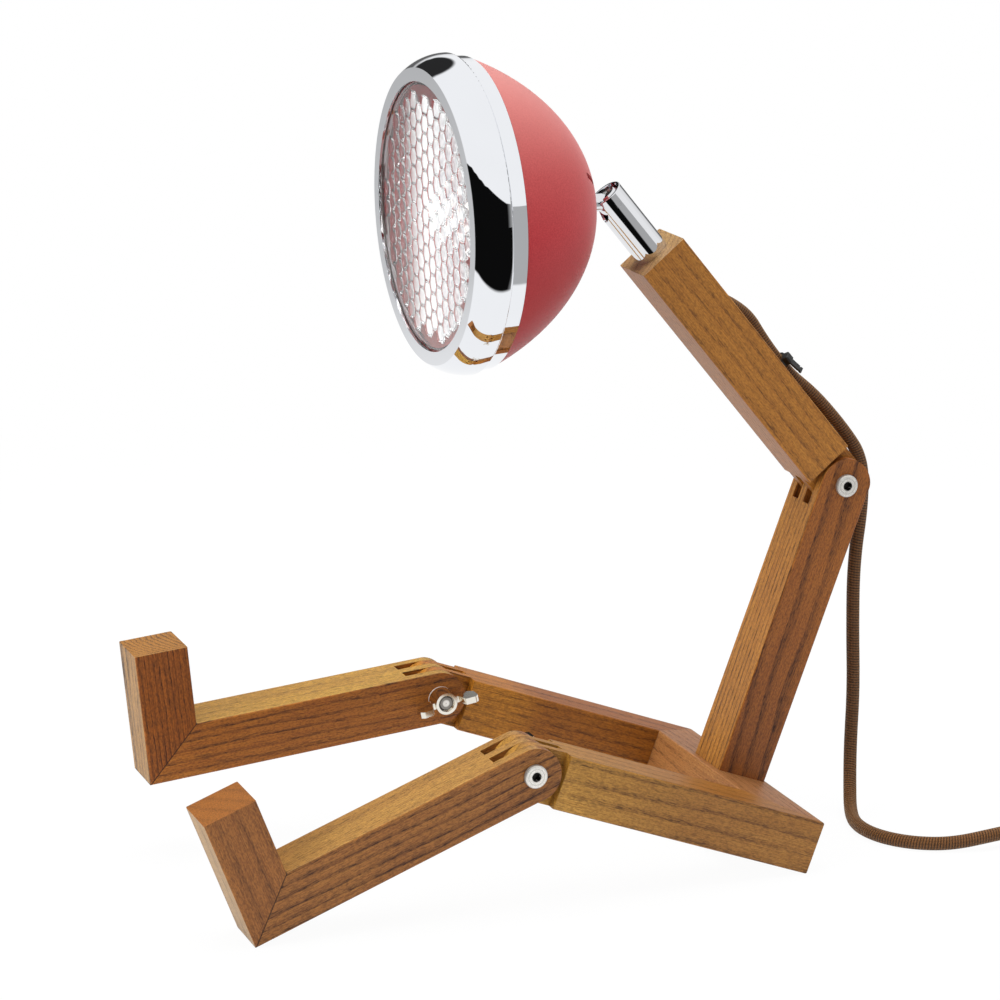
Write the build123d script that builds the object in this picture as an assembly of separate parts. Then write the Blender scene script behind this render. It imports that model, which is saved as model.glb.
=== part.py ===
from build123d import *
import math
import os

os.makedirs("parts", exist_ok=True)

# Desk lamp in the shape of a seated robot, in millimetres, +Z up.
# It faces -Y, its left side is +X. It is laid out from the middle of the hips'
# rear bottom edge, and moved at the end so that the origin lies under its middle.

# ---- Timber ----
BEAM_WIDTH = 28.0  # every beam, along X
BEAM_THICK = 25.0  # every beam, the other way
EDGE_ROUND = 0.8  # rounding along the long edges
GLUE_LINE = 0.12  # between two glued mitres
HIP_WIDTH = 150.0  # over both thighs
CROSSBAR_DEPTH = 31.5
THIGH_LENGTH = 146.5  # crossbar's rear face to the knee bolt
SHIN_LENGTH = 143.0  # knee bolt to the sole
FOOT_HEIGHT = 62.0
POST_LENGTH = 145.0  # top of the crossbar to the elbow bolt
POST_SETBACK = 2.0  # crossbar's rear face to the post's
NECK_LENGTH = 147.0  # elbow bolt to the top end

# ---- Finger joints ----
FINGERS = 5
FINGER_GAP = 0.1  # each finger is set in by this at each inner side
SHOULDER = 14.0  # bolt axis to the full section of a beam

# ---- Pose the lamp is stored in, in degrees ----
HIP_TILT = 20.45  # thighs rise towards the knees
RIGHT_SHIN_DROP = 5.44  # below level; the left shin's is worked out from its heel
NECK_LEAN = 39.45  # forward of upright
HEAD_DIP = 1.0  # nose down

# ---- Dowels and the post's screw ----
DOWEL_RADIUS = 3.0
DOWEL_FIT = 0.05
MITRE_DOWEL = 16.0
MITRE_DOWEL_SPREAD = 7.0  # from the middle of a foot's mitre, along X
HIP_DOWEL_SPREAD = 5.5  # from the middle of a hip's mitre, up and down
POST_DOWEL = 24.0
POST_DOWEL_SPREAD = 9.0
SCREW_RADIUS = 2.5
SCREW_LENGTH = 60.0
SCREW_HEAD_RADIUS = 5.0
SCREW_HEAD_HEIGHT = 3.0
SCREW_SINK = 0.5

# ---- Joint bolts, M6 with a 4 mm socket ----
BOLT_RADIUS = 3.0
RUNNING_FIT = 0.05  # radial, shaft in hole
HEAD_RADIUS = 5.35
HEAD_HEIGHT = 1.9
HEAD_ROUND = 0.7
SOCKET_WIDTH = 4.0  # across flats
SOCKET_DEPTH = 2.6
WASHER_RADIUS = 6.0
WASHER_THICK = 1.0
NUT_HEIGHT = 8.0
NUT_BASE_RADIUS = 6.0
NUT_FACE_RADIUS = 5.2
NUT_DISH = 3.9  # radius of the hollow round the bolt's end
NUT_DISH_DEPTH = 1.6
BOLT_END_RECESS = 1.0  # bolt's end below the nut's face
WING_SPAN = 29.0
WING_THICK = 3.0
WING_FOOT = 4.6  # under side of the wing's tip, above the nut's base
WING_TOP = 13.5  # upper side of the wing's tip, above the nut's base
WING_CORNER = 1.5
WING_ROUND = 0.6
NUT_TURNS = {"left": 0.0, "right": -6.0}  # knee nuts' wings from the level, degrees
ELBOW_NUT_TURN = -50.0

# ---- Swivel tube in the neck's top end ----
TUBE_RADIUS = 8.0
TUBE_WALL = 1.0
TUBE_REACH = 36.5  # out of the neck
TUBE_SEAT = 25.0  # into the neck
TUBE_LIP = 0.4  # rounding of its upper end
PIN_DROP = 5.0  # tube's end to the cross pin
PIN_RADIUS = 1.5
NOTCH_WIDTH = 11.0
SET_SCREW_DROP = 12.0  # neck's top to the swivel's set screw
SET_SCREW_RADIUS = 2.0
SET_SCREW_SOCKET = 2.0  # across flats
INSERT_RADIUS = 3.0
INSERT_SINK = 0.1

# ---- Knuckle between tube and head ----
BALL_GAP = 0.3
KNUCKLE_WIDTH = 10.6
STEM_RADIUS = 4.0
STEM_BORE = 2.2
COLLAR_WIDTH = 1.2
COLLAR_LENGTH = 2.0
WEB = 1.5  # left between the pin's hole and the stem's bore
GRUB_RADIUS = 2.6
GRUB_OFFSET = 1.6  # behind the middle of the knuckle's top
GRUB_SINK = 1.0
GRUB_LENGTH = 2.0
GRUB_SOCKET = 3.0
GRUB_SOCKET_DEPTH = 1.2
WIRE_RADIUS = 1.0

# ---- Head: s runs back along its axis from the front rim ----
DOME_REACH = 77.8  # front rim to the back of the dome
PIN_STANDOFF = 11.7  # back of the dome to the cross pin
DOME_AXIAL = 107.5  # semi-axis of the dome's ellipse along the head
DOME_MOUTH = 68.9  # its radius at the bezel
SHELL_WALL = 1.0
SEAM = 22.7  # front rim to the bezel's rear edge
SEAM_GAP = 0.2
SPIGOT_FRONT = 12.0  # front edge of the shell inside the bezel
VENT_INNER = 22.0
VENT_OUTER = 38.0
VENT_WIDTH = 2.6
VENT_ANGLES = (90, 210, 330)  # from the left side, downwards first
LENS_OPENING = 59.5
LIP_RADIUS = 65.5
BEZEL_RADIUS = 71.1
BEZEL_CREST = 14.85  # front rim to the widest place
BEZEL_ROLL = 1.0
BAND_FRONT_RADIUS = 69.5
BAND_REAR_RADIUS = 69.2
BAND_FRONT = 16.3
BEZEL_WALL = 1.0

# ---- Lens and what holds it ----
LENS_RADIUS = 63.5
LENS_EDGE = 3.0
LENS_BULGE = 1.2
GASKET_THICK = 0.5
GASKET_WALL = 0.9
FACE_GAP = 0.05
RETAINER_THICK = 1.0
RETAINER_INNER = 60.5
RETAINER_OUTER = 67.2

# ---- Lampholder and bulb ----
DOME_WASHER_RADIUS = 11.0
DOME_WASHER_THICK = 2.0
BRACKET_RADIUS = 15.0
BRACKET_THICK = 1.5
BRACKET_ARM_WIDTH = 10.0
BRACKET_REACH = 8.75  # its plate under the lampholder from its rear face
NUT_WIDTH = 13.0
NUT_THICK = 4.0
HOLDER_RADIUS = 11.0
HOLDER_LENGTH = 17.5
HOLDER_SOCKET = 8.2
HOLDER_SOCKET_DEPTH = 5.0
HOLDER_SCREW_RADIUS = 1.5
HOLDER_SCREW_SPREAD = 7.0
HOLDER_SCREW_GRIP = 4.5  # in the lampholder
HOLDER_SCREW_HEAD = 1.2
BULB_RADIUS = 8.0
BULB_LENGTH = 41.0
BULB_PIN_RADIUS = 0.8
BULB_PIN_SPREAD = 4.5  # half of the 9 mm between the pins
BULB_PIN_LENGTH = 8.0

# ---- Lead ----
CORD_RADIUS = 3.15
CORD_LENGTH = 1800.0  # from the neck to the plug
ARC_SHARE = 0.45  # of the shorter run beside a corner
EXIT_DROP = 42.0  # neck's top end to the hole in its rear face
EXIT_SLOPE = 30.0  # between the hole and the neck's axis
EXIT_TURN = 20.0  # hole's turn about the neck's axis, to the right
EXIT_BORE = 3.5
CORD_START = 8.0  # start of the free lead, down its bore
FREE_RUN = 13.2  # straight on from the hole to the route's first corner
LEAD_SIDE = -7.0  # X of the lead on the neck
INNER_LEAD_RADIUS = 2.4

# ---- Cable tie on the neck ----
CLIP_HEIGHT = 60.0  # elbow bolt to the tie
BELOW_CLIP = 25.0  # tie to the route's next corner
CLIP_STANDOFF = 3.4  # neck's rear face to the lead's middle
CLIP_POCKET = 2.0  # depth of the saddle's pocket in the neck
CLIP_BASE_LENGTH = 14.0
CLIP_BASE_WIDTH = 10.0
CLIP_BASE_THICK = 2.9
CLIP_CHAMFER = 0.6
TIE_WIDTH = 3.6
TIE_THICK = 1.1
TIE_FIT = 0.2  # between tie and lead
TIE_LOCK = 4.2
TIE_LOCK_HEIGHT = 3.2
TIE_TAIL = 9.0
TIE_TAIL_THICK = 1.0
TIE_TAIL_LEAN = 11.0  # degrees from the lead
TIE_TURN = 50.0  # lock's turn round the lead, to the left

# ---- In-line switch ----
SWITCH_AT = (64.2, 157.8)  # middle, on the floor
SWITCH_TURN = 10.0  # its length's turn from Y, degrees
SWITCH_LENGTH = 56.0
SWITCH_WIDTH = 24.0
SWITCH_HEIGHT = 13.2
SWITCH_ROUND = 6.0
SWITCH_EDGE = 1.5
ROCKER_LENGTH = 16.0
ROCKER_WIDTH = 9.0
ROCKER_DISH = 33.0  # radius of its hollow top
ROCKER_DISH_DEPTH = 1.0
ROCKER_RISE = 1.6
ROCKER_GAP = 0.3
ROCKER_PIN = 1.2
ROCKER_TILT = 7.0  # to each side, degrees
SWITCH_WALL = 1.6
RUN_UP = 14.0  # straight lead before the switch
RELIEF_LENGTH = 20.0
RELIEF_WALL = 0.8

# ---- Stored coil ----
COIL_AT = (-2.0, 194.5)
COIL_MEAN_RADIUS = 34.6
COIL_COLUMNS = 3
COIL_LAYERS = 2
TURN_PITCH = 6.4
COIL_TIE_WIDTH = 4.0
COIL_TIE_THICK = 0.7
COIL_TIE_ANGLE = 215.0

# ---- Plug, 2.5 A flat two-pin ----
PLUG_AT = (-33.0, 234.9)  # tip of its relief, on the floor
PLUG_TURN = 4.0  # its pins' turn from -X, degrees
PLUG_LENGTH = 35.5
PLUG_WIDTH = 35.3
PLUG_THICK = 13.7
PLUG_NOSE_WIDTH = 26.0
PLUG_PIN_RADIUS = 2.0
PLUG_PIN_LENGTH = 19.0
PLUG_PIN_SPREAD = 9.3
PLUG_PIN_ROUND = 1.2
PLUG_SHOULDER = 5.0  # length over which the body opens from its nose
PLUG_SHANK = 12.0  # straight length behind the pins' face
PLUG_CHAMFER = 1.6
LAY_GAP = 0.3  # between things that lie on each other

HALF_THICK = BEAM_THICK / 2
HALF_WIDTH = BEAM_WIDTH / 2
CORD_EXIT = NECK_LENGTH - EXIT_DROP  # elbow bolt to the hole
PIN_FROM_RIM = DOME_REACH + PIN_STANDOFF
KNEE_X = HIP_WIDTH / 2 - HALF_WIDTH

UPRIGHT = (Align.CENTER, Align.CENTER, Align.MIN)
HANGING = (Align.CENTER, Align.CENTER, Align.MAX)
OUTWARD = (Align.CENTER, Align.MIN, Align.CENTER)

nodes = {}


def keep(name, shape):
    """Stores one node; a list becomes a group of separate solids."""
    nodes[name] = Compound(children=list(shape)) if isinstance(shape, list) else shape


# ---- Frames: each maps a part's own axes to the lamp's ----
def point_of(frame):
    return Vector(frame.position)


HIPS = Location((0, 0, 0), (-HIP_TILT, 0, 0))
KNEE_POINT = point_of(HIPS * Pos(0, -THIGH_LENGTH, HALF_THICK))
POST_AXIS = POST_SETBACK + HALF_THICK
ELBOW_POINT = point_of(HIPS * Pos(0, -POST_AXIS, BEAM_THICK + POST_LENGTH))
TILT = math.radians(HIP_TILT)
GROUND = EDGE_ROUND * (math.sin(TILT) + math.cos(TILT) - 1)  # under the rounded rear edge
HEEL_REACH = math.hypot(SHIN_LENGTH, HALF_THICK)
LEFT_SHIN_DROP = math.degrees(
    math.asin((KNEE_POINT.Z - GROUND) / HEEL_REACH) - math.atan(HALF_THICK / SHIN_LENGTH)
)
NECK = Pos(*ELBOW_POINT) * Rot(NECK_LEAN, 0, 0)
PIN_HEIGHT = NECK_LENGTH + TUBE_REACH - PIN_DROP
PIN_POINT = point_of(NECK * Pos(0, 0, PIN_HEIGHT))
HEAD = Pos(*PIN_POINT) * Rot(HEAD_DIP, 0, 0)
RIM = HEAD * Pos(0, -PIN_FROM_RIM, 0) * Rot(-90, 0, 0)  # +Z runs back from the rim
SHIN_DROPS = {"left": LEFT_SHIN_DROP, "right": RIGHT_SHIN_DROP}
SIDES = {"left": 1, "right": -1}


def knee(side, drop):
    """Knee's frame, with the shin along -Y when drop is its angle below level."""
    return Pos(SIDES[side] * KNEE_X, KNEE_POINT.Y, KNEE_POINT.Z) * Rot(drop, 0, 0)


# ---- Timber pieces ----
def bar(width, thick, start, end):
    """Beam along Z, with rounded long edges."""
    section = RectangleRounded(width, thick, EDGE_ROUND)
    return Pos(0, 0, start) * extrude(section, end - start)


def across(radius, length):
    """Round bar or hole along X, centred."""
    return Rot(0, 90, 0) * Cylinder(radius, length)


def finger_plates(divisions):
    """Round-ended plates that turn about the X axis and reach the shoulder."""
    step = BEAM_WIDTH / FINGERS
    outline = Circle(HALF_THICK) + Pos(0, SHOULDER / 2) * Rectangle(BEAM_THICK, SHOULDER)
    plates = []
    for k in divisions:
        low = -HALF_WIDTH + k * step + (FINGER_GAP if k > 0 else 0)
        high = -HALF_WIDTH + (k + 1) * step - (FINGER_GAP if k < FINGERS - 1 else 0)
        side = Plane(origin=(low, 0, 0), x_dir=(0, 1, 0), z_dir=(1, 0, 0))
        plates.append(extrude(side * outline, high - low))
    return Part() + plates


def jointed_beam(length, divisions):
    """Beam along +Z whose finger joint turns about the X axis at the origin."""
    fingers = bar(BEAM_WIDTH, BEAM_THICK, -HALF_THICK, SHOULDER) & finger_plates(divisions)
    beam = fingers + bar(BEAM_WIDTH, BEAM_THICK, SHOULDER, length)
    return beam - across(BOLT_RADIUS + RUNNING_FIT, 2 * BEAM_WIDTH)


OUTER_FINGERS = range(0, FINGERS, 2)
INNER_FINGERS = range(1, FINGERS, 2)


def half_space(origin, normal):
    """Plane facing along normal, half a glue line out from origin."""
    n = Vector(*normal).normalized()
    return Plane(origin=Vector(*origin) + n * (GLUE_LINE / 2), z_dir=n)


def dowels(centres, direction, length, grow=0.0):
    """Dowels, or with grow their holes, centred on the points along direction."""
    made = []
    for centre in centres:
        plane = Plane(origin=centre, z_dir=Vector(*direction))
        made.append(plane.location * Cylinder(DOWEL_RADIUS + grow, length + 6 * grow))
    return made


def hip_mitre(sign):
    """Middle of the mitre and its normal towards the thigh, in the hips' frame."""
    middle = (sign * (HIP_WIDTH - BEAM_WIDTH) / 2, -CROSSBAR_DEPTH / 2, HALF_THICK)
    return middle, (sign * CROSSBAR_DEPTH, -BEAM_WIDTH, 0)


def hip_dowels(sign, grow=0.0):
    (x, y, z), normal = hip_mitre(sign)
    centres = [(x, y, z + HIP_DOWEL_SPREAD), (x, y, z - HIP_DOWEL_SPREAD)]
    return dowels(centres, normal, MITRE_DOWEL, grow)


def thigh(sign):
    """In the hips' frame."""
    beam = jointed_beam(THIGH_LENGTH, INNER_FINGERS)
    beam = Pos(sign * KNEE_X, -THIGH_LENGTH, HALF_THICK) * Rot(-90, 0, 0) * beam
    middle, normal = hip_mitre(sign)
    beam = split(beam, bisect_by=half_space(middle, normal), keep=Keep.TOP)
    return beam - hip_dowels(sign, DOWEL_FIT)


def post_dowels(grow=0.0):
    centres = [(s * POST_DOWEL_SPREAD, -POST_AXIS, BEAM_THICK) for s in (-1, 1)]
    return dowels(centres, (0, 0, 1), POST_DOWEL, grow)


def post_screw(grow=0.0):
    """Countersunk screw up through the crossbar, in the hips' frame."""
    shank = Cylinder(SCREW_RADIUS + grow, SCREW_LENGTH + grow, align=UPRIGHT)
    head = Cone(
        SCREW_HEAD_RADIUS + grow,
        SCREW_RADIUS + grow,
        SCREW_HEAD_HEIGHT,
        align=UPRIGHT,
    )
    screw = shank + head
    if grow:
        screw += Cylinder(SCREW_HEAD_RADIUS + grow, 2 * SCREW_SINK)
    else:
        screw -= Box(SCREW_RADIUS * 2, SCREW_SINK, 2 * SCREW_SINK)
    return Pos(0, -POST_AXIS, SCREW_SINK) * screw


def crossbar():
    """In the hips' frame."""
    rail = Rot(0, 90, 0) * bar(BEAM_THICK, CROSSBAR_DEPTH, -HIP_WIDTH / 2, HIP_WIDTH / 2)
    rail = Pos(0, -CROSSBAR_DEPTH / 2, HALF_THICK) * rail
    for sign in (-1, 1):
        middle, normal = hip_mitre(sign)
        facing = [-n for n in normal]
        rail = split(rail, bisect_by=half_space(middle, facing), keep=Keep.TOP)
        rail -= hip_dowels(sign, DOWEL_FIT)
    return rail - post_dowels(DOWEL_FIT) - post_screw(DOWEL_FIT)


def post():
    """In the hips' frame, standing on the crossbar."""
    beam = jointed_beam(POST_LENGTH, OUTER_FINGERS)
    beam = Pos(0, -POST_AXIS, BEAM_THICK + POST_LENGTH) * Rot(180, 0, 0) * beam
    return beam - post_dowels(DOWEL_FIT) - post_screw(DOWEL_FIT)


MITRE_MIDDLE = (0, 0, SHIN_LENGTH - HALF_THICK)  # a foot's, in the shin's own frame
MITRE_NORMAL = (0, 1, 1)


def foot_dowels(grow=0.0):
    centres = [(s * MITRE_DOWEL_SPREAD, 0, MITRE_MIDDLE[2]) for s in (-1, 1)]
    return dowels(centres, MITRE_NORMAL, MITRE_DOWEL, grow)


def shin():
    """Along +Z from the knee bolt; the foot rises along +Y."""
    beam = jointed_beam(SHIN_LENGTH, OUTER_FINGERS)
    facing = [-n for n in MITRE_NORMAL]
    beam = split(beam, bisect_by=half_space(MITRE_MIDDLE, facing), keep=Keep.TOP)
    return beam - foot_dowels(DOWEL_FIT)


def foot():
    """In the shin's own frame."""
    block = bar(BEAM_WIDTH, BEAM_THICK, -HALF_THICK, FOOT_HEIGHT - HALF_THICK)
    block = Pos(0, 0, SHIN_LENGTH - HALF_THICK) * Rot(-90, 0, 0) * block
    block = split(block, bisect_by=half_space(MITRE_MIDDLE, MITRE_NORMAL), keep=Keep.TOP)
    return block - foot_dowels(DOWEL_FIT)


EXIT_REACH = HALF_THICK / math.cos(math.radians(EXIT_TURN))  # neck's axis to the hole
EXIT = Rot(0, 0, EXIT_TURN) * Pos(0, EXIT_REACH, CORD_EXIT) * Rot(EXIT_SLOPE, 0, 0)
BORE_LENGTH = EXIT_REACH / math.sin(math.radians(EXIT_SLOPE))  # neck's axis to the hole, along it


def exit_bore(radius, start, end):
    """Round bar along the lead's way out, from start to end outside the exit point."""
    return EXIT * Pos(0, 0, -end) * Cylinder(radius, end - start, align=UPRIGHT)


def clip_pocket():
    """Room for the saddle in the neck's rear face."""
    room = Box(
        CLIP_BASE_WIDTH + 2 * FACE_GAP, BEAM_THICK, CLIP_BASE_LENGTH + 2 * FACE_GAP, align=OUTWARD
    )
    return Pos(LEAD_SIDE, HALF_THICK - CLIP_POCKET, CLIP_HEIGHT) * room


def set_screw_bar(radius, start, end):
    """Round bar along +Y at the swivel's set screw, in the neck's frame."""
    rod = Cylinder(radius, end - start, align=UPRIGHT)
    return Pos(0, start, NECK_LENGTH - SET_SCREW_DROP) * Rot(-90, 0, 0) * rod


def neck():
    """In the neck's frame: along +Z, front towards -Y."""
    beam = jointed_beam(NECK_LENGTH, INNER_FINGERS)
    seat = Cylinder(TUBE_RADIUS + RUNNING_FIT, 2 * TUBE_SEAT)
    beam -= Pos(0, 0, NECK_LENGTH) * seat
    beam -= exit_bore(EXIT_BORE, -BORE_LENGTH, CORD_START)
    beam -= clip_pocket()
    return beam - set_screw_bar(INSERT_RADIUS + DOWEL_FIT, TUBE_RADIUS / 2, BEAM_THICK)


# ---- Bolts, washers and wing nuts: frame at the joint, head towards +X ----
def bolt():
    tip = -HALF_WIDTH - WASHER_THICK - NUT_HEIGHT + BOLT_END_RECESS
    shank = Pos((HALF_WIDTH + tip) / 2, 0, 0) * across(BOLT_RADIUS, HALF_WIDTH - tip)
    disc = Cylinder(HEAD_RADIUS, HEAD_HEIGHT, align=UPRIGHT)
    disc = fillet(disc.edges().group_by(Axis.Z)[-1], HEAD_ROUND)
    socket = Pos(0, 0, HEAD_HEIGHT - SOCKET_DEPTH) * extrude(
        RegularPolygon(SOCKET_WIDTH / 2, 6, major_radius=False), SOCKET_DEPTH
    )
    place = Pos(HALF_WIDTH, 0, 0) * Rot(0, 90, 0)
    return shank + place * disc - place * socket


def washer():
    disc = across(WASHER_RADIUS, WASHER_THICK)
    disc -= across(BOLT_RADIUS + RUNNING_FIT, 2 * WASHER_THICK)
    return Pos(-HALF_WIDTH - WASHER_THICK / 2, 0, 0) * disc


def wing_nut(turn):
    """Hub with two wings that rise and widen towards their tips; turn is about the bolt."""
    hub = Cone(NUT_BASE_RADIUS, NUT_FACE_RADIUS, NUT_HEIGHT, align=UPRIGHT)
    tip = WING_SPAN / 2
    root = NUT_FACE_RADIUS - 1.0
    outline = make_face(
        Polyline(
            (root, WING_CORNER),
            (NUT_BASE_RADIUS + WING_CORNER, WING_CORNER),
            (tip - WING_CORNER, WING_FOOT),
            (tip, WING_FOOT + WING_CORNER),
            (tip, WING_TOP - WING_CORNER),
            (tip - WING_CORNER, WING_TOP),
            (NUT_FACE_RADIUS + 2 * WING_CORNER, WING_TOP - WING_ROUND),
            (NUT_FACE_RADIUS + WING_CORNER, NUT_HEIGHT - WING_CORNER),
            (root, NUT_HEIGHT - WING_CORNER),
            close=True,
        )
    )
    wing = extrude(Plane.XZ * outline, WING_THICK / 2, both=True)
    wing = fillet(wing.edges().filter_by(Axis.Y), WING_ROUND)
    nut = hub + wing + Rot(0, 0, 180) * wing
    dish = Cone(BOLT_RADIUS, NUT_DISH, NUT_DISH_DEPTH, align=HANGING)
    nut -= Pos(0, 0, NUT_HEIGHT) * dish
    nut -= Cylinder(BOLT_RADIUS + RUNNING_FIT, 3 * NUT_HEIGHT)
    return Pos(-HALF_WIDTH - WASHER_THICK, 0, 0) * Rot(turn + 90, 0, 0) * Rot(0, -90, 0) * nut


# ---- Swivel tube and knuckle: in the neck's frame ----
def swivel_tube():
    length = TUBE_REACH + TUBE_SEAT
    tube = Cylinder(TUBE_RADIUS, length, align=HANGING)
    tube = fillet(tube.edges().group_by(Axis.Z)[-1], TUBE_LIP)
    tube -= Cylinder(TUBE_RADIUS - TUBE_WALL, 3 * length)
    notch = Rot(90, 0, 0) * Cylinder(NOTCH_WIDTH / 2, TUBE_RADIUS * 2, align=UPRIGHT)
    notch += Pos(0, -TUBE_RADIUS, PIN_DROP) * Box(NOTCH_WIDTH, TUBE_RADIUS * 2, PIN_DROP * 2)
    tube -= Pos(0, 0, -PIN_DROP) * (notch + across(PIN_RADIUS, 4 * TUBE_RADIUS))
    return Pos(0, 0, NECK_LENGTH + TUBE_REACH) * tube


def cross_pin():
    """Flush with the outside of the tube."""
    rod = across(PIN_RADIUS, 4 * TUBE_RADIUS) & Cylinder(TUBE_RADIUS - 0.05, 4 * PIN_RADIUS)
    return Pos(0, 0, PIN_HEIGHT) * rod


def set_screw_insert():
    sleeve = set_screw_bar(INSERT_RADIUS, TUBE_RADIUS + RUNNING_FIT, HALF_THICK - INSERT_SINK)
    return sleeve - set_screw_bar(SET_SCREW_RADIUS + RUNNING_FIT, 0, BEAM_THICK)


def set_screw():
    end = HALF_THICK - 3 * INSERT_SINK
    screw = set_screw_bar(SET_SCREW_RADIUS, TUBE_RADIUS + RUNNING_FIT, end)
    hexagon = extrude(RegularPolygon(SET_SCREW_SOCKET / 2, 6, major_radius=False), BEAM_THICK)
    place = Pos(0, end - SET_SCREW_RADIUS, NECK_LENGTH - SET_SCREW_DROP) * Rot(-90, 0, 0)
    return screw - place * hexagon


def tube_lead():
    """The lead inside the swivel tube, up to just under the knuckle."""
    low = NECK_LENGTH - TUBE_SEAT + FACE_GAP
    high = PIN_HEIGHT - TUBE_RADIUS - 1.0
    return Pos(0, 0, low) * Cylinder(INNER_LEAD_RADIUS, high - low, align=UPRIGHT)


def bore_lead():
    """The lead inside the slanted bore, from the swivel tube to the free lead."""
    rod = exit_bore(INNER_LEAD_RADIUS, -BORE_LENGTH, -CORD_START - FACE_GAP)
    room = Box(BEAM_WIDTH, BEAM_THICK, 2 * (NECK_LENGTH - TUBE_SEAT - CORD_EXIT))
    return rod & Pos(0, 0, CORD_EXIT) * room


BALL_RADIUS = TUBE_RADIUS - TUBE_WALL - BALL_GAP
TOP_TURN = NECK_LEAN - HEAD_DIP  # from the head's frame to the neck's


def along_neck(shape):
    """A shape made along +Z at the pin, turned from the neck's frame to the head's."""
    return Rot(TOP_TURN, 0, 0) * shape


def grub_hole():
    """Blind hole in the knuckle's top, in the head's frame."""
    depth = GRUB_SINK + GRUB_LENGTH + FACE_GAP
    hole = Cylinder(GRUB_RADIUS + FACE_GAP, 2 * depth)
    return along_neck(Pos(0, GRUB_OFFSET, PIN_DROP) * hole)


def grub_screw():
    """Locks the knuckle on its pin; in the head's frame."""
    screw = Cylinder(GRUB_RADIUS, GRUB_LENGTH, align=UPRIGHT)
    hexagon = extrude(RegularPolygon(GRUB_SOCKET / 2, 6, major_radius=False), GRUB_LENGTH)
    screw -= Pos(0, 0, GRUB_LENGTH - GRUB_SOCKET_DEPTH) * hexagon
    return along_neck(Pos(0, GRUB_OFFSET, PIN_DROP - GRUB_SINK - GRUB_LENGTH) * screw)


def knuckle():
    """Ball cut to a tongue on the pin, with a threaded stem into the head."""
    ball = Sphere(BALL_RADIUS) & Box(KNUCKLE_WIDTH, 3 * BALL_RADIUS, 3 * BALL_RADIUS)
    above = Box(4 * BALL_RADIUS, 4 * BALL_RADIUS, 2 * BALL_RADIUS)
    ball -= along_neck(Pos(0, 0, PIN_DROP + BALL_RADIUS) * above)
    stem_end = PIN_FROM_RIM - HOLDER_PLATE - BRACKET_THICK - 1.0
    stem = Rot(90, 0, 0) * Cylinder(STEM_RADIUS, stem_end, align=UPRIGHT)
    collar = Cylinder(STEM_RADIUS + COLLAR_WIDTH, COLLAR_LENGTH, align=UPRIGHT)
    collar_end = PIN_FROM_RIM - DOME_REACH - FACE_GAP
    collar = Pos(0, -collar_end, 0) * Rot(-90, 0, 0) * collar
    bore = Cylinder(STEM_BORE, 2 * stem_end, align=UPRIGHT)
    bore = Pos(0, -PIN_RADIUS - WEB, 0) * Rot(90, 0, 0) * bore
    solid = ball + stem + collar - bore
    return solid - across(PIN_RADIUS + RUNNING_FIT, 2 * KNUCKLE_WIDTH) - grub_hole()


# ---- Head: revolved about Z in the rim's frame ----
DOME_CENTRE = DOME_REACH - DOME_AXIAL
DOME_FRONT = SEAM + SEAM_GAP
DOME_RADIAL = DOME_MOUTH / math.sqrt(1 - ((DOME_FRONT - DOME_CENTRE) / DOME_AXIAL) ** 2)


def ring(inner, outer, low, high):
    tube = Cylinder(outer, high - low, align=UPRIGHT)
    if inner:
        tube -= Cylinder(inner, 3 * (high - low))
    return Pos(0, 0, low) * tube


def dome_slice(inset, low, high):
    """Half section of the dome's ellipse, set in by inset, between two places on its axis."""
    oval = Pos(0, DOME_CENTRE) * Ellipse(DOME_RADIAL - inset, DOME_AXIAL - inset)
    window = Pos(DOME_RADIAL / 2, (low + high) / 2) * Rectangle(DOME_RADIAL, high - low)
    return oval & window


def revolve_section(section):
    return revolve(Plane.XZ * section, Axis.Z)


def head_shell():
    """Pressed dome with a spigot that the bezel slides over."""
    rear = DOME_REACH + SHELL_WALL
    dome = dome_slice(0, DOME_FRONT, rear) - dome_slice(SHELL_WALL, DOME_FRONT - 1.0, rear)
    spigot_radius = BAND_REAR_RADIUS - BEZEL_WALL - SEAM_GAP
    spigot_rear = DOME_FRONT + SHELL_WALL
    spigot = ring(spigot_radius - SHELL_WALL, spigot_radius, SPIGOT_FRONT, spigot_rear)
    shell = revolve_section(dome) + spigot
    shell -= Pos(0, 0, DOME_REACH) * Cylinder(STEM_RADIUS + RUNNING_FIT, 8 * SHELL_WALL)
    slot_length = VENT_OUTER - VENT_INNER
    slot = extrude(SlotOverall(slot_length, VENT_WIDTH), 2 * BEAM_THICK)
    for angle in VENT_ANGLES:
        place = Rot(0, 0, angle) * Pos((VENT_OUTER + VENT_INNER) / 2, 0, DOME_REACH - BEAM_THICK)
        shell -= place * slot
    return shell


def bezel_arc_centre():
    """Centre and radius of the arc from the lip to the crest, level at the crest."""
    rise = BEZEL_RADIUS - LIP_RADIUS
    radius = (rise**2 + BEZEL_CREST**2) / (2 * rise)
    return BEZEL_RADIUS - radius, radius


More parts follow.
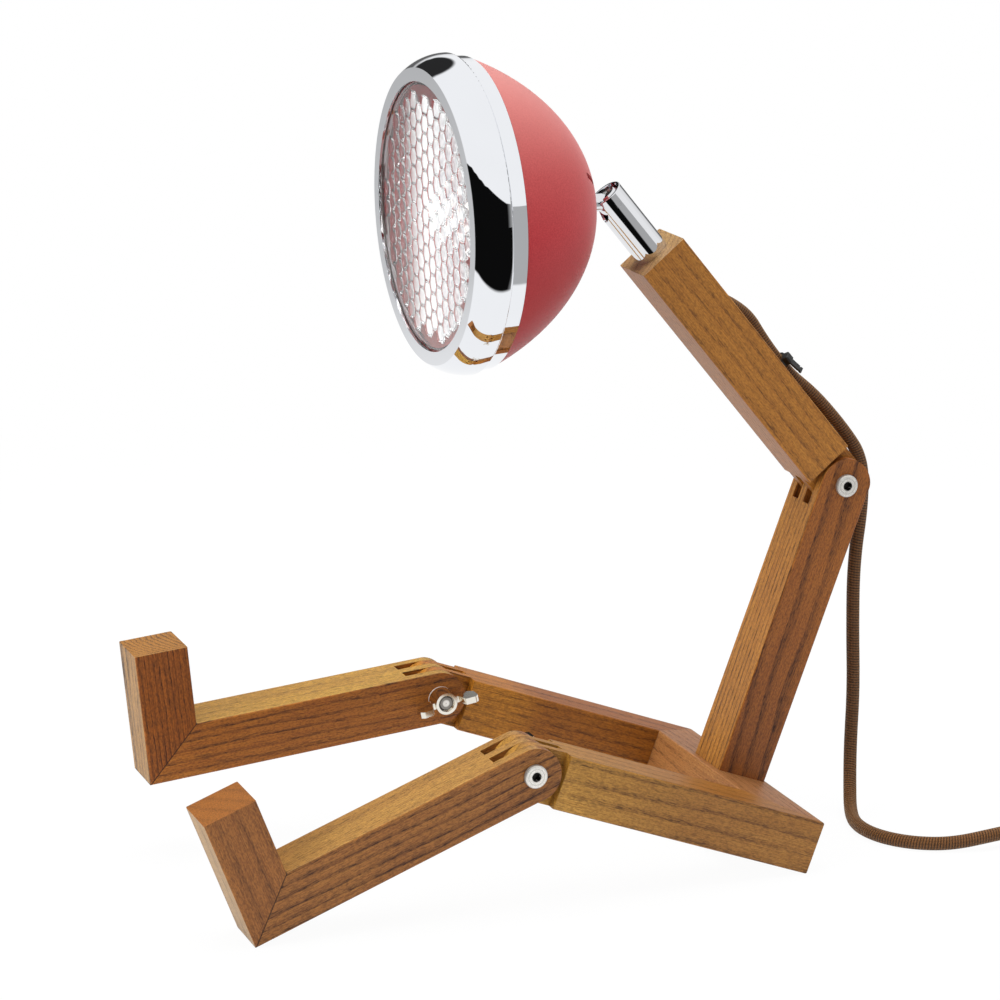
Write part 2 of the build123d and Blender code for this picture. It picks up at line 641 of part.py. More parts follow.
def bezel():
    """Chromed ring with a flat lip, a round band and a straight rear band."""
    centre, radius = bezel_arc_centre()
    inner = radius - BEZEL_WALL

    def on_arc(r, s):
        return centre + math.sqrt(r**2 - (BEZEL_CREST - s) ** 2)

    half = BEZEL_CREST / 2
    outer_arc = ThreePointArc(
        (LIP_RADIUS, 0), (on_arc(radius, half), half), (BEZEL_RADIUS, BEZEL_CREST)
    )
    roll = RadiusArc(
        (BEZEL_RADIUS, BEZEL_CREST),
        (BEZEL_RADIUS - BEZEL_ROLL, BEZEL_CREST + BEZEL_ROLL),
        -BEZEL_ROLL,
    )
    behind = Polyline(
        (BEZEL_RADIUS - BEZEL_ROLL, BEZEL_CREST + BEZEL_ROLL),
        (BAND_FRONT_RADIUS, BAND_FRONT),
        (BAND_REAR_RADIUS, SEAM),
        (BAND_REAR_RADIUS - BEZEL_WALL, SEAM),
        (BAND_FRONT_RADIUS - BEZEL_WALL, BAND_FRONT - BEZEL_WALL / 2),
        (BEZEL_RADIUS - BEZEL_WALL, BEZEL_CREST),
    )
    inner_arc = ThreePointArc(
        (BEZEL_RADIUS - BEZEL_WALL, BEZEL_CREST),
        (on_arc(inner, half), half),
        (on_arc(inner, BEZEL_WALL), BEZEL_WALL),
    )
    lip = Polyline(
        (on_arc(inner, BEZEL_WALL), BEZEL_WALL),
        (LENS_OPENING, BEZEL_WALL),
        (LENS_OPENING, 0),
        (LIP_RADIUS, 0),
    )
    return revolve_section(make_face([outer_arc, roll, behind, inner_arc, lip]))


LENS_FRONT = BEZEL_WALL + GASKET_THICK
LENS_BACK = LENS_FRONT + LENS_EDGE


def lens():
    """Clear disc with a slightly crowned front."""
    crown = ThreePointArc(
        (-LENS_OPENING, LENS_FRONT), (0, LENS_FRONT - LENS_BULGE), (LENS_OPENING, LENS_FRONT)
    )
    disc = ring(0, LENS_RADIUS, LENS_FRONT, LENS_BACK)
    cap = make_face([crown, Line((LENS_OPENING, LENS_FRONT), (-LENS_OPENING, LENS_FRONT))])
    half = cap & Pos(LENS_OPENING, 0) * Rectangle(2 * LENS_OPENING, 4 * LENS_FRONT)
    return disc + revolve_section(half)


def gasket():
    front = BEZEL_WALL + FACE_GAP
    outer = LENS_RADIUS + FACE_GAP + GASKET_WALL
    seal = ring(LENS_OPENING + 1.0, outer, front, LENS_FRONT - FACE_GAP)
    return seal + ring(LENS_RADIUS + FACE_GAP, outer, front, LENS_BACK)


def retainer():
    front = LENS_BACK + FACE_GAP
    return ring(RETAINER_INNER, RETAINER_OUTER, front, front + RETAINER_THICK)


# ---- Inside the dome ----
INNER_APEX = DOME_REACH - SHELL_WALL
BRACKET_REAR = INNER_APEX - DOME_WASHER_THICK - FACE_GAP
HOLDER_PLATE = BRACKET_REAR - BRACKET_REACH


def dome_washer():
    """Fits the curve of the dome on one side and is flat on the other."""
    blank = ring(STEM_RADIUS + RUNNING_FIT, DOME_WASHER_RADIUS, BRACKET_REAR + FACE_GAP, DOME_REACH)
    return blank & revolve_section(dome_slice(SHELL_WALL + FACE_GAP, 0, DOME_REACH))


def bracket():
    """Plate on the stem, two arms and the plate that carries the lampholder."""
    hole = STEM_RADIUS + RUNNING_FIT
    base = ring(hole, BRACKET_RADIUS, BRACKET_REAR - BRACKET_THICK, BRACKET_REAR)
    front = ring(hole, BRACKET_RADIUS, HOLDER_PLATE, HOLDER_PLATE + BRACKET_THICK)
    inward = (Align.MAX, Align.CENTER, Align.MIN)
    arm = Box(BRACKET_THICK, BRACKET_ARM_WIDTH, BRACKET_REACH, align=inward)
    arms = [Rot(0, 0, a) * Pos(BRACKET_RADIUS - 1.0, 0, HOLDER_PLATE) * arm for a in (0, 180)]
    made = base + front + arms
    for place in holder_screw_places():
        made -= place * Cylinder(HOLDER_SCREW_RADIUS + RUNNING_FIT, 8 * BRACKET_THICK)
    return made


def stem_nut():
    top = BRACKET_REAR - BRACKET_THICK - FACE_GAP
    nut = extrude(RegularPolygon(NUT_WIDTH / 2, 6, major_radius=False), NUT_THICK)
    nut -= Cylinder(STEM_RADIUS + FACE_GAP, 4 * NUT_THICK)
    return Pos(0, 0, top - NUT_THICK) * nut


def holder_screw_places():
    return [Pos(0, s * HOLDER_SCREW_SPREAD, HOLDER_PLATE) for s in (-1, 1)]


HOLDER_FRONT = HOLDER_PLATE - FACE_GAP - HOLDER_LENGTH
BULB_REAR = HOLDER_FRONT + HOLDER_SOCKET_DEPTH - FACE_GAP


def lampholder():
    body = ring(0, HOLDER_RADIUS, HOLDER_FRONT, HOLDER_PLATE - FACE_GAP)
    body = chamfer(body.edges().group_by(Axis.Z)[0], 1.0)
    body -= Pos(0, 0, HOLDER_FRONT) * Cylinder(HOLDER_SOCKET + FACE_GAP, 2 * HOLDER_SOCKET_DEPTH)
    for x in (-BULB_PIN_SPREAD, BULB_PIN_SPREAD):
        body -= Pos(x, 0, BULB_REAR) * Cylinder(BULB_PIN_RADIUS + FACE_GAP, 2 * BULB_PIN_LENGTH + 1)
    for hole in holder_screw_places():
        body -= hole * Cylinder(HOLDER_SCREW_RADIUS + RUNNING_FIT, 2 * HOLDER_SCREW_GRIP + 1)
    return body


def holder_screws():
    made = []
    for hole in holder_screw_places():
        length = HOLDER_SCREW_GRIP + BRACKET_THICK
        shank = Pos(0, 0, BRACKET_THICK) * Cylinder(HOLDER_SCREW_RADIUS, length, align=HANGING)
        head = Cylinder(2 * HOLDER_SCREW_RADIUS, HOLDER_SCREW_HEAD, align=UPRIGHT)
        made.append(hole * (shank + Pos(0, 0, BRACKET_THICK) * head))
    return made


def bulb():
    """Frosted capsule, round at its front end."""
    body = ring(0, BULB_RADIUS, BULB_REAR - BULB_LENGTH + BULB_RADIUS, BULB_REAR)
    return body + Pos(0, 0, BULB_REAR - BULB_LENGTH + BULB_RADIUS) * Sphere(BULB_RADIUS)


def bulb_pins():
    pin = Cylinder(BULB_PIN_RADIUS, BULB_PIN_LENGTH, align=UPRIGHT)
    return [Pos(x, 0, BULB_REAR) * pin for x in (-BULB_PIN_SPREAD, BULB_PIN_SPREAD)]


def head_wires():
    """Two cores from the stem's bore to the back of the lampholder."""
    wires = []
    start = PIN_FROM_RIM - PIN_RADIUS - WEB - 1.0
    for sign in (-1, 1):
        x = sign * (WIRE_RADIUS + 0.1)
        core = Cylinder(WIRE_RADIUS, start - HOLDER_PLATE, align=UPRIGHT)
        wires.append(Pos(x, 0, HOLDER_PLATE) * core)
    return wires


# ---- Cable tie on the neck, in the neck's frame ----
CLIP_AXIS = HALF_THICK + CLIP_STANDOFF
AT_CLIP = Pos(LEAD_SIDE, CLIP_AXIS, CLIP_HEIGHT)


def tie_tail():
    """Tongue with a pointed end that leaves the lock downwards and away from the lead."""
    strip = Box(TIE_WIDTH - CLIP_CHAMFER, TIE_TAIL_THICK, TIE_TAIL, align=HANGING)
    corner = Pos(0, 0, -TIE_TAIL) * Rot(0, 45, 0) * Box(TIE_WIDTH, 2 * TIE_TAIL_THICK, TIE_WIDTH)
    end = Pos(0, 0, -TIE_TAIL) * Box(2 * TIE_WIDTH, 2 * TIE_TAIL_THICK, TIE_WIDTH)
    return Rot(TIE_TAIL_LEAN, 0, 0) * (strip - (end - corner))


def clip_tie():
    """Loop round the lead, with its lock and tail on the outer left side."""
    inner = CORD_RADIUS + TIE_FIT
    loop = ring(inner, inner + TIE_THICK, -TIE_WIDTH / 2, TIE_WIDTH / 2)
    outside = inner + TIE_THICK / 2
    lock = Box(TIE_LOCK, TIE_LOCK_HEIGHT, TIE_LOCK, align=OUTWARD)
    lock = Pos(0, outside, 0) * chamfer(lock.edges().group_by(Axis.Y)[-1], CLIP_CHAMFER)
    tail = Pos(0, outside + TIE_LOCK_HEIGHT / 2, 0) * tie_tail()
    return AT_CLIP * Rot(0, 0, -TIE_TURN) * (loop + lock + tail)


def clip_base():
    """Saddle stuck in its pocket under the lead."""
    block = Box(CLIP_BASE_WIDTH, CLIP_BASE_THICK, CLIP_BASE_LENGTH, align=OUTWARD)
    block = chamfer(block.edges().filter_by(Axis.Z).group_by(Axis.Y)[-1], CLIP_CHAMFER)
    block = Pos(LEAD_SIDE, HALF_THICK - CLIP_POCKET, CLIP_HEIGHT) * block
    groove = AT_CLIP * Cylinder(CORD_RADIUS + LAY_GAP, 2 * CLIP_BASE_LENGTH)
    channel = AT_CLIP * Cylinder(
        CORD_RADIUS + TIE_FIT + TIE_THICK + FACE_GAP, TIE_WIDTH + 2 * FACE_GAP
    )
    return block - groove - channel


# ---- Lead ----
def cord_tube(name, points):
    """Straight runs joined by tangent arcs, as large as the runs allow."""
    corners = [Vector(*p) for p in points]
    radii = []
    for before, corner, after in zip(corners, corners[1:], corners[2:]):
        run_in, run_out = corner - before, after - corner
        turn = math.radians(run_in.get_angle(run_out))
        radii.append(ARC_SHARE * min(run_in.length, run_out.length) / math.tan(turn / 2))
    path = FilletPolyline(*corners, radius=radii)
    tube = sweep(Plane(origin=path @ 0, z_dir=path % 0) * Circle(CORD_RADIUS), path=path)
    swept = math.pi * CORD_RADIUS**2 * path.length
    print(name, "radii", [round(r) for r in radii], "length", round(path.length, 1))
    print(name, "volume over section times length", round(tube.volume / swept, 6))
    keep(name, tube)
    return path.length


def down_exit(reach):
    """A place on the exit hole's axis, outside the hole, on the lamp."""
    return tuple(point_of(NECK * EXIT * Pos(0, 0, -reach)))


def in_neck(y, z):
    """A place behind the neck, in line with the tie, on the lamp."""
    return tuple(point_of(NECK * Pos(LEAD_SIDE, y, z)))


def midway(a, b):
    return tuple((Vector(*a) + Vector(*b)) * 0.5)


LAID = GROUND + FACE_GAP  # under side of what lies on the floor
FLOOR = LAID + CORD_RADIUS  # height of a lead that lies on the floor

NECK_ROUTE = [
    down_exit(-CORD_START),
    down_exit(FREE_RUN),
    in_neck(CLIP_AXIS, CLIP_HEIGHT + 12.0),
    in_neck(CLIP_AXIS, CLIP_HEIGHT - 8.0),
]
DROP_ROUTE = [
    in_neck(HALF_THICK + 6.9, CLIP_HEIGHT - BELOW_CLIP),
    (LEAD_SIDE, 53.6, 186.6),
    (LEAD_SIDE, 64.2, 171.3),
    (LEAD_SIDE, 65.0, 149.5),
    (LEAD_SIDE, 61.2, 121.0),
    (LEAD_SIDE, 61.5, 89.0),
    (LEAD_SIDE, 62.8, 58.0),
    (LEAD_SIDE, 61.8, 30.0),
    (1.3, 57.9, 13.2),
    (15.6, 51.4, FLOOR),
    (33.4, 46.6, FLOOR),
    (50.6, 50.0, FLOOR),
    (64.2, 61.2, FLOOR),
    (71.5, 77.0, FLOOR + 0.3),
]

SWITCH = Pos(*SWITCH_AT, LAID) * Rot(0, 0, SWITCH_TURN)  # along Y, its under side at z = 0
SWITCH_AXIS = SWITCH_HEIGHT / 2
SWITCH_END = SWITCH_LENGTH / 2 + RELIEF_LENGTH + FACE_GAP


def by_switch(beyond):
    """A place on the switch's axis, beyond one of its reliefs."""
    reach = math.copysign(SWITCH_END, beyond) + beyond
    return tuple(point_of(SWITCH * Pos(0, reach, SWITCH_AXIS)))


COIL_HALF_WIDTH = COIL_COLUMNS * TURN_PITCH / 2
COIL_HEIGHT = COIL_LAYERS * TURN_PITCH
COIL_BASE = LAID + FACE_GAP
COIL_TOP = COIL_BASE + COIL_HEIGHT
PLUG_AXIS = LAID + PLUG_THICK / 2  # height of the plug's middle
OUTER_TURN = COIL_MEAN_RADIUS + TURN_PITCH
TOP_LAYER = COIL_TOP - CORD_RADIUS


def on_coil(angle, radius, z):
    a = math.radians(angle)
    return (COIL_AT[0] + radius * math.cos(a), COIL_AT[1] + radius * math.sin(a), z)


LEAD_ROUTE = [
    by_switch(1e-9),
    by_switch(17.0),
    (42.3, 235.5, FLOOR + 0.3),
    (26.6, 242.5, FLOOR),
    (9.5, 241.5, FLOOR),
    on_coil(94, OUTER_TURN, FLOOR),
]
TAIL_ROUTE = [
    on_coil(86, OUTER_TURN, TOP_LAYER),
    (-10.0, 235.9, TOP_LAYER),
    (-23.0, 235.5, PLUG_AXIS),
    (*PLUG_AT, PLUG_AXIS),
]


def coil():
    """The outer shape of the wound lead."""
    section = Pos(COIL_MEAN_RADIUS, (COIL_BASE + COIL_TOP) / 2) * RectangleRounded(
        2 * COIL_HALF_WIDTH, COIL_HEIGHT, CORD_RADIUS
    )
    return Pos(*COIL_AT, 0) * revolve_section(section)


def coil_tie():
    """Band round the bundle of turns."""
    height = COIL_HEIGHT + 2 * FACE_GAP
    width = 2 * (COIL_HALF_WIDTH + COIL_TIE_THICK)
    inside = RectangleRounded(
        width - 2 * COIL_TIE_THICK, height - 2 * COIL_TIE_THICK, CORD_RADIUS - COIL_TIE_THICK
    )
    band = RectangleRounded(width, height, CORD_RADIUS) - inside
    loop = extrude(Plane.XZ * band, COIL_TIE_WIDTH / 2, both=True)
    place = Pos(*COIL_AT, 0) * Rot(0, 0, COIL_TIE_ANGLE)
    return place * Pos(COIL_MEAN_RADIUS, 0, LAID + height / 2) * loop


# ---- In-line switch ----
def relief(wide):
    """Tapered sleeve along +Z with its wide end at the origin."""
    return Cone(wide, CORD_RADIUS + RELIEF_WALL, RELIEF_LENGTH, align=UPRIGHT)


def switch_block(low, high):
    plate = RectangleRounded(SWITCH_WIDTH, SWITCH_LENGTH, SWITCH_ROUND)
    return Pos(0, 0, low) * extrude(plate, high - low)


SWITCH_HOLLOW = Box(
    SWITCH_WIDTH - 2 * SWITCH_WALL,
    SWITCH_LENGTH - 2 * SWITCH_ROUND,
    SWITCH_HEIGHT - 2 * SWITCH_WALL,
)
ROCKER_AXIS = SWITCH_HEIGHT - SWITCH_WALL - ROCKER_PIN  # height of the rocker's pins
LUG_THICK = 2.4  # cover's lugs that carry the rocker's pins


def switch_base():
    base = switch_block(0, SWITCH_AXIS - FACE_GAP / 2)
    base = chamfer(base.edges().group_by(Axis.Z)[0], SWITCH_EDGE)
    return base - Pos(0, 0, SWITCH_AXIS) * SWITCH_HOLLOW


def switch_cover():
    """With an opening for the rocker and two lugs under it for the rocker's pins."""
    cover = switch_block(SWITCH_AXIS + FACE_GAP / 2, SWITCH_HEIGHT)
    cover = fillet(cover.edges().group_by(Axis.Z)[-1], SWITCH_EDGE)
    cover -= Pos(0, 0, SWITCH_AXIS) * SWITCH_HOLLOW
    opening = ROCKER_WIDTH + 2 * ROCKER_GAP
    lug = Box(LUG_THICK, 4 * ROCKER_PIN, 3 * ROCKER_PIN)
    for sign in (-1, 1):
        cover += Pos(sign * (opening + LUG_THICK) / 2, 0, ROCKER_AXIS) * lug
    cover -= Pos(0, 0, SWITCH_HEIGHT) * Box(
        opening, ROCKER_LENGTH + 2 * ROCKER_GAP, SWITCH_HEIGHT
    )
    return cover - Pos(0, 0, ROCKER_AXIS) * across(ROCKER_PIN + RUNNING_FIT, SWITCH_WIDTH / 1.5)


def rocker():
    """Seesaw key with a dished top, about its pins; its two ends stand out in turn."""
    rise = SWITCH_HEIGHT + ROCKER_RISE - ROCKER_AXIS
    block = Box(ROCKER_WIDTH, ROCKER_LENGTH - 4 * ROCKER_GAP, 2 * rise)
    block -= Pos(0, 0, rise + ROCKER_DISH - ROCKER_DISH_DEPTH) * across(ROCKER_DISH, SWITCH_WIDTH)
    block = fillet(block.edges().filter_by(Axis.Z), 1.0)
    pins = across(ROCKER_PIN, ROCKER_WIDTH + 2 * (ROCKER_GAP + LUG_THICK))
    return Rot(-ROCKER_TILT, 0, 0) * (block + pins)


def switch_reliefs():
    made = []
    for sign in (-1, 1):
        place = Pos(0, sign * (SWITCH_LENGTH / 2 + FACE_GAP), SWITCH_AXIS)
        made.append(place * Rot(-sign * 90, 0, 0) * relief(SWITCH_AXIS - SWITCH_EDGE / 2))
    return made


# ---- Plug ----
PLUG = Pos(*PLUG_AT, PLUG_AXIS) * Rot(0, 0, PLUG_TURN) * Rot(0, -90, 0)  # +Z runs to the pins


def plug_relief():
    wide = PLUG_THICK / 2 - PLUG_CHAMFER / 2
    return Pos(0, 0, RELIEF_LENGTH + FACE_GAP) * Rot(180, 0, 0) * relief(wide)


def plug_body():
    """Flat body, narrow at the lead and wide at the pins."""
    start = RELIEF_LENGTH + 2 * FACE_GAP
    end = start + PLUG_LENGTH
    nose, wide = PLUG_NOSE_WIDTH / 2, PLUG_WIDTH / 2
    outline = make_face(
        Polyline(
            (-nose / 2, start),
            (nose / 2, start),
            (nose, start + PLUG_SHOULDER),
            (wide, end - PLUG_SHANK),
            (wide, end),
            (-wide, end),
            (-wide, end - PLUG_SHANK),
            (-nose, start + PLUG_SHOULDER),
            close=True,
        )
    )
    body = extrude(Plane.YZ * outline, PLUG_THICK / 2, both=True)
    return chamfer(body.edges().filter_by(Axis.X, reverse=True), PLUG_CHAMFER)


def plug_pins():
    start = RELIEF_LENGTH + 2 * FACE_GAP + PLUG_LENGTH + FACE_GAP
    pin = Cylinder(PLUG_PIN_RADIUS, PLUG_PIN_LENGTH, align=UPRIGHT)
    pin = fillet(pin.edges().group_by(Axis.Z)[-1], PLUG_PIN_ROUND)
    return [Pos(0, y, start) * pin for y in (-PLUG_PIN_SPREAD, PLUG_PIN_SPREAD)]


# ---- Assembly ----
def place_legs():
    for side, sign in SIDES.items():
        joint = knee(side, SHIN_DROPS[side])
        along_shin = joint * Rot(90, 0, 0)
        outward = joint if sign > 0 else joint * Rot(0, 0, 180)
        keep(f"{side}_thigh", HIPS * thigh(sign))
        keep(f"{side}_shin", along_shin * shin())
        keep(f"{side}_foot", along_shin * foot())
        keep(f"{side}_foot_dowels", [along_shin * d for d in foot_dowels()])
        keep(f"{side}_knee_bolt", outward * bolt())
        keep(f"{side}_knee_washer", outward * washer())
        keep(f"{side}_knee_wing_nut", outward * wing_nut(NUT_TURNS[side]))


def place_torso():
    keep("hip_crossbar", HIPS * crossbar())
    keep("hip_dowels", [HIPS * d for sign in (-1, 1) for d in hip_dowels(sign)])
    keep("torso_post", HIPS * post())
    keep("post_dowels", [HIPS * d for d in post_dowels()])
    keep("post_screw", HIPS * post_screw())
    keep("elbow_bolt", Pos(*ELBOW_POINT) * bolt())
    keep("elbow_washer", Pos(*ELBOW_POINT) * washer())
    keep("elbow_wing_nut", Pos(*ELBOW_POINT) * wing_nut(ELBOW_NUT_TURN))


def place_neck():
    keep("neck_beam", NECK * neck())
    keep("swivel_insert", NECK * set_screw_insert())
    keep("swivel_set_screw", NECK * set_screw())
    keep("bore_lead", NECK * bore_lead())
    keep("clip_base", NECK * clip_base())
    keep("clip_tie", NECK * clip_tie())
    keep("swivel_tube", NECK * swivel_tube())
    keep("cross_pin", NECK * cross_pin())
    keep("tube_lead", NECK * tube_lead())


def place_head():
    keep("knuckle", HEAD * knuckle())
    keep("knuckle_grub_screw", HEAD * grub_screw())
    keep("head_shell", RIM * head_shell())
    keep("bezel_ring", RIM * bezel())
    keep("lens", RIM * lens())
    keep("lens_gasket", RIM * gasket())
    keep("lens_retainer", RIM * retainer())
    keep("dome_washer", RIM * dome_washer())
    keep("lamp_bracket", RIM * bracket())
    keep("stem_nut", RIM * stem_nut())
    keep("lamp_holder", RIM * lampholder())
    keep("holder_screws", [RIM * s for s in holder_screws()])
    keep("led_bulb", RIM * bulb())
    keep("bulb_pins", [RIM * p for p in bulb_pins()])
    keep("head_wires", [RIM * w for w in head_wires()])


def place_lead():
    """Returns the length of lead outside the coil."""
    cut = midway(NECK_ROUTE[-1], DROP_ROUTE[0])
    used = cord_tube("cord_neck", NECK_ROUTE + [cut])
    used += cord_tube("cord_drop", [cut] + DROP_ROUTE + [by_switch(-RUN_UP), by_switch(-1e-9)])
    used += cord_tube("cord_lead", LEAD_ROUTE)
    used += cord_tube("cord_tail", TAIL_ROUTE)
    keep("cord_coil", coil())
    keep("coil_tie", coil_tie())
    keep("switch_base", SWITCH * switch_base())
    keep("switch_cover", SWITCH * switch_cover())
    keep("switch_rocker", SWITCH * Pos(0, 0, ROCKER_AXIS) * rocker())
    keep("switch_reliefs", [SWITCH * r for r in switch_reliefs()])
    keep("plug_relief", PLUG * plug_relief())
    keep("plug_body", PLUG * plug_body())
    keep("plug_pins", [PLUG * p for p in plug_pins()])
    return used


LEAD_NODES = (
    "cord_neck cord_drop cord_lead cord_tail cord_coil coil_tie "
    "switch_base switch_cover switch_rocker switch_reliefs "
    "plug_relief plug_body plug_pins"
).split()


def resting_box():
    """Box of the lamp without its lead."""
    boxes = [s.bounding_box() for name, s in nodes.items() if name not in LEAD_NODES]
    low = [min(getattr(b.min, axis) for b in boxes) for axis in "XYZ"]
    high = [max(getattr(b.max, axis) for b in boxes) for axis in "XYZ"]
    return low, high


def report(shift, outside):
    """Prints what the record needs, in the exported frame, in metres and degrees."""
    for name, place in {
        "left_knee": knee("left", 0),
        "right_knee": knee("right", 0),
        "elbow": Pos(*ELBOW_POINT),
        "pin": Pos(*PIN_POINT),
        "rocker": SWITCH * Pos(0, 0, ROCKER_AXIS),
        "exit": Pos(*down_exit(0)),
        "hips under": HIPS * Pos(0, -CROSSBAR_DEPTH / 2, 0),
        "left sole": knee("left", LEFT_SHIN_DROP) * Pos(0, -SHIN_LENGTH, 20),
        "right sole": knee("right", RIGHT_SHIN_DROP) * Pos(0, -SHIN_LENGTH, 20),
    }.items():
        print(name, [round(c / 1000, 5) for c in point_of(shift * place)])
    print("left shin drop", round(LEFT_SHIN_DROP, 3), "shift", point_of(shift))
    in_coil = CORD_LENGTH - outside
    turns = in_coil / (2 * math.pi * COIL_MEAN_RADIUS)
    print("lead outside the coil", round(outside), "in it", round(in_coil), "turns", round(turns, 2))


def export_all():
    place_legs()
    place_torso()
    place_neck()
    place_head()
    outside = place_lead()
    low, high = resting_box()
    shift = Pos(-(low[0] + high[0]) / 2, -(low[1] + high[1]) / 2, -low[2])
    for name, shape in nodes.items():
        export_step(shift * shape, f"parts/{name}.step")
    report(shift, outside)


export_all()
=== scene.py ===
import bpy
import bmesh
import math
from mathutils import Matrix, Vector


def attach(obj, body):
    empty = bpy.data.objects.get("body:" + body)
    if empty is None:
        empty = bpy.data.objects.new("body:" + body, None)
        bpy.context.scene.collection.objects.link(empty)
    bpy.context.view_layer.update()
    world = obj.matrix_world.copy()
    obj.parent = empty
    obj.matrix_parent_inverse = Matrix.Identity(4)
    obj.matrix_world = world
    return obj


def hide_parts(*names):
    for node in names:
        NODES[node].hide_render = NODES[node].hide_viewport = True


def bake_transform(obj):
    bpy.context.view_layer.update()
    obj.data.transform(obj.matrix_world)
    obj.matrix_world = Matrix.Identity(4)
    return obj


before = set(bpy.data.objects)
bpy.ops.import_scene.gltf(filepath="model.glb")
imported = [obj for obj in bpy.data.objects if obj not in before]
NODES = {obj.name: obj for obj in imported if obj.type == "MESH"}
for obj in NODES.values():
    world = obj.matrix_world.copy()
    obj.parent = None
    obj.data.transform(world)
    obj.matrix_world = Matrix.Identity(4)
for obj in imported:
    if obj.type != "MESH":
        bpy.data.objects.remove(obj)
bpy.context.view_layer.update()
scene = bpy.context.scene
scene.view_settings.view_transform = "Standard"

# ---- The lamp's own frames, in metres and degrees ----
MM = 0.001
SHIFT = Vector((0, 0.11292, -0.000229))  # from the hips' rear bottom edge to the record's origin
HIP_TILT, NECK_LEAN, HEAD_DIP = 20.45, 39.45, 1.0
SHIN_DROP = {"left": 20.89, "right": 5.44}
KNEE = {"left": Vector((0.061, -0.01998, 0.06267)), "right": Vector((-0.061, -0.01998, 0.06267))}
ELBOW = Vector((0, 0.15873, 0.16412))
PIN = Vector((0, 0.04531, 0.30196))
RIM_REACH = 0.0895  # from the cross pin to the bezel's front


def turned(place, degrees):
    """Frame at a place, turned about the X axis."""
    return Matrix.Translation(place) @ Matrix.Rotation(math.radians(degrees), 4, "X")


def model_mm(x, y, z):
    """A point given in the drawing's millimetres."""
    return Vector((x, y, z)) * MM + SHIFT


def add_object(name, data):
    """Puts an object with this data into the scene."""
    made = bpy.data.objects.new(name, data)
    scene.collection.objects.link(made)
    return made


HIPS = turned(SHIFT, -HIP_TILT)
NECK = turned(ELBOW, NECK_LEAN)
HEAD = turned(PIN, HEAD_DIP)
RIM = HEAD @ turned((0, -RIM_REACH, 0), -90)

# ---- Camera ----
CAMERA_YAW, CAMERA_PITCH = math.radians(69.11), math.radians(-14.21)
camera_data = bpy.data.cameras.new("camera")
camera_data.lens = 131.0
camera_data.sensor_width = 36.0
camera_data.clip_end = 20.0
camera = add_object("camera", camera_data)
camera.location = model_mm(1488.6, -689.0, 572.6)
camera.rotation_euler = (math.radians(90) + CAMERA_PITCH, 0, CAMERA_YAW)
scene.camera = camera

# ---- Cords: routes in the drawing's millimetres, as their solids have them ----
CORD_DIAMETER = 0.0063
LAID = 0.279  # the surface that the lamp and its lead stand on
FLOOR = LAID + CORD_DIAMETER / MM / 2  # the axis of a cord that lies on it
LEAD_SIDE = -7.0  # the lead runs a little beside the middle of the back

# the lead's hole: its slope off the neck's length, its turn to the side, the height at
# which it leaves the rear face, and how far that face is from the neck's middle
EXIT_SLOPE, EXIT_TURN = math.radians(30), math.radians(20)
EXIT_HEIGHT, REAR_FACE = 105.0, 12.5

SWITCH = Matrix.Translation((64.2, 157.8, LAID)) @ Matrix.Rotation(math.radians(10), 4, "Z")
SWITCH_END = 48.05  # from its middle to the tips of its strain reliefs
SWITCH_AXIS = 6.6  # the height of the lead in it


def in_neck(y, z, x=LEAD_SIDE):
    """A place behind the neck, in the drawing's millimetres."""
    return (NECK @ (Vector((x, y, z)) * MM) - SHIFT) / MM


def by_switch(reach):
    """A place on the switch's axis, in the drawing's millimetres."""
    return SWITCH @ Vector((0, reach, SWITCH_AXIS))


def down_exit(reach):
    """A place on the axis of the lead's hole in the neck."""
    out = REAR_FACE / math.cos(EXIT_TURN) + reach * math.sin(EXIT_SLOPE)
    z = EXIT_HEIGHT - reach * math.cos(EXIT_SLOPE)
    return in_neck(out * math.cos(EXIT_TURN), z, -out * math.sin(EXIT_TURN))


NECK_ROUTE = [down_exit(-8.0), down_exit(13.2), in_neck(15.9, 72.0), in_neck(15.9, 52.0)]
DROP_ROUTE = [
    in_neck(19.4, 35.0),
    (LEAD_SIDE, 53.6, 186.6),
    (LEAD_SIDE, 64.2, 171.3),
    (LEAD_SIDE, 65.0, 149.5),
    (LEAD_SIDE, 61.2, 121.0),
    (LEAD_SIDE, 61.5, 89.0),
    (LEAD_SIDE, 62.8, 58.0),
    (LEAD_SIDE, 61.8, 30.0),
    (1.3, 57.9, 13.2),
    (15.6, 51.4, FLOOR),
    (33.4, 46.6, FLOOR),
    (50.6, 50.0, FLOOR),
    (64.2, 61.2, FLOOR),
    (71.5, 77.0, FLOOR + 0.3),
    by_switch(-SWITCH_END - 14.0),
    by_switch(-SWITCH_END),
]
COIL_CENTRE = (-2.0, 194.5)
LAYER_PITCH = 6.4
LAYERS = (LAID + 0.05 + LAYER_PITCH / 2, LAID + 0.05 + 1.5 * LAYER_PITCH)
# radius and layer of each turn, in the order they are wound
TURNS = [(41.0, 0), (34.6, 0), (28.2, 0), (28.2, 1), (34.6, 1), (41.0, 1)]
PER_TURN = 18
MOVES_OVER = 0.72  # the share of a turn after which it moves over to the next


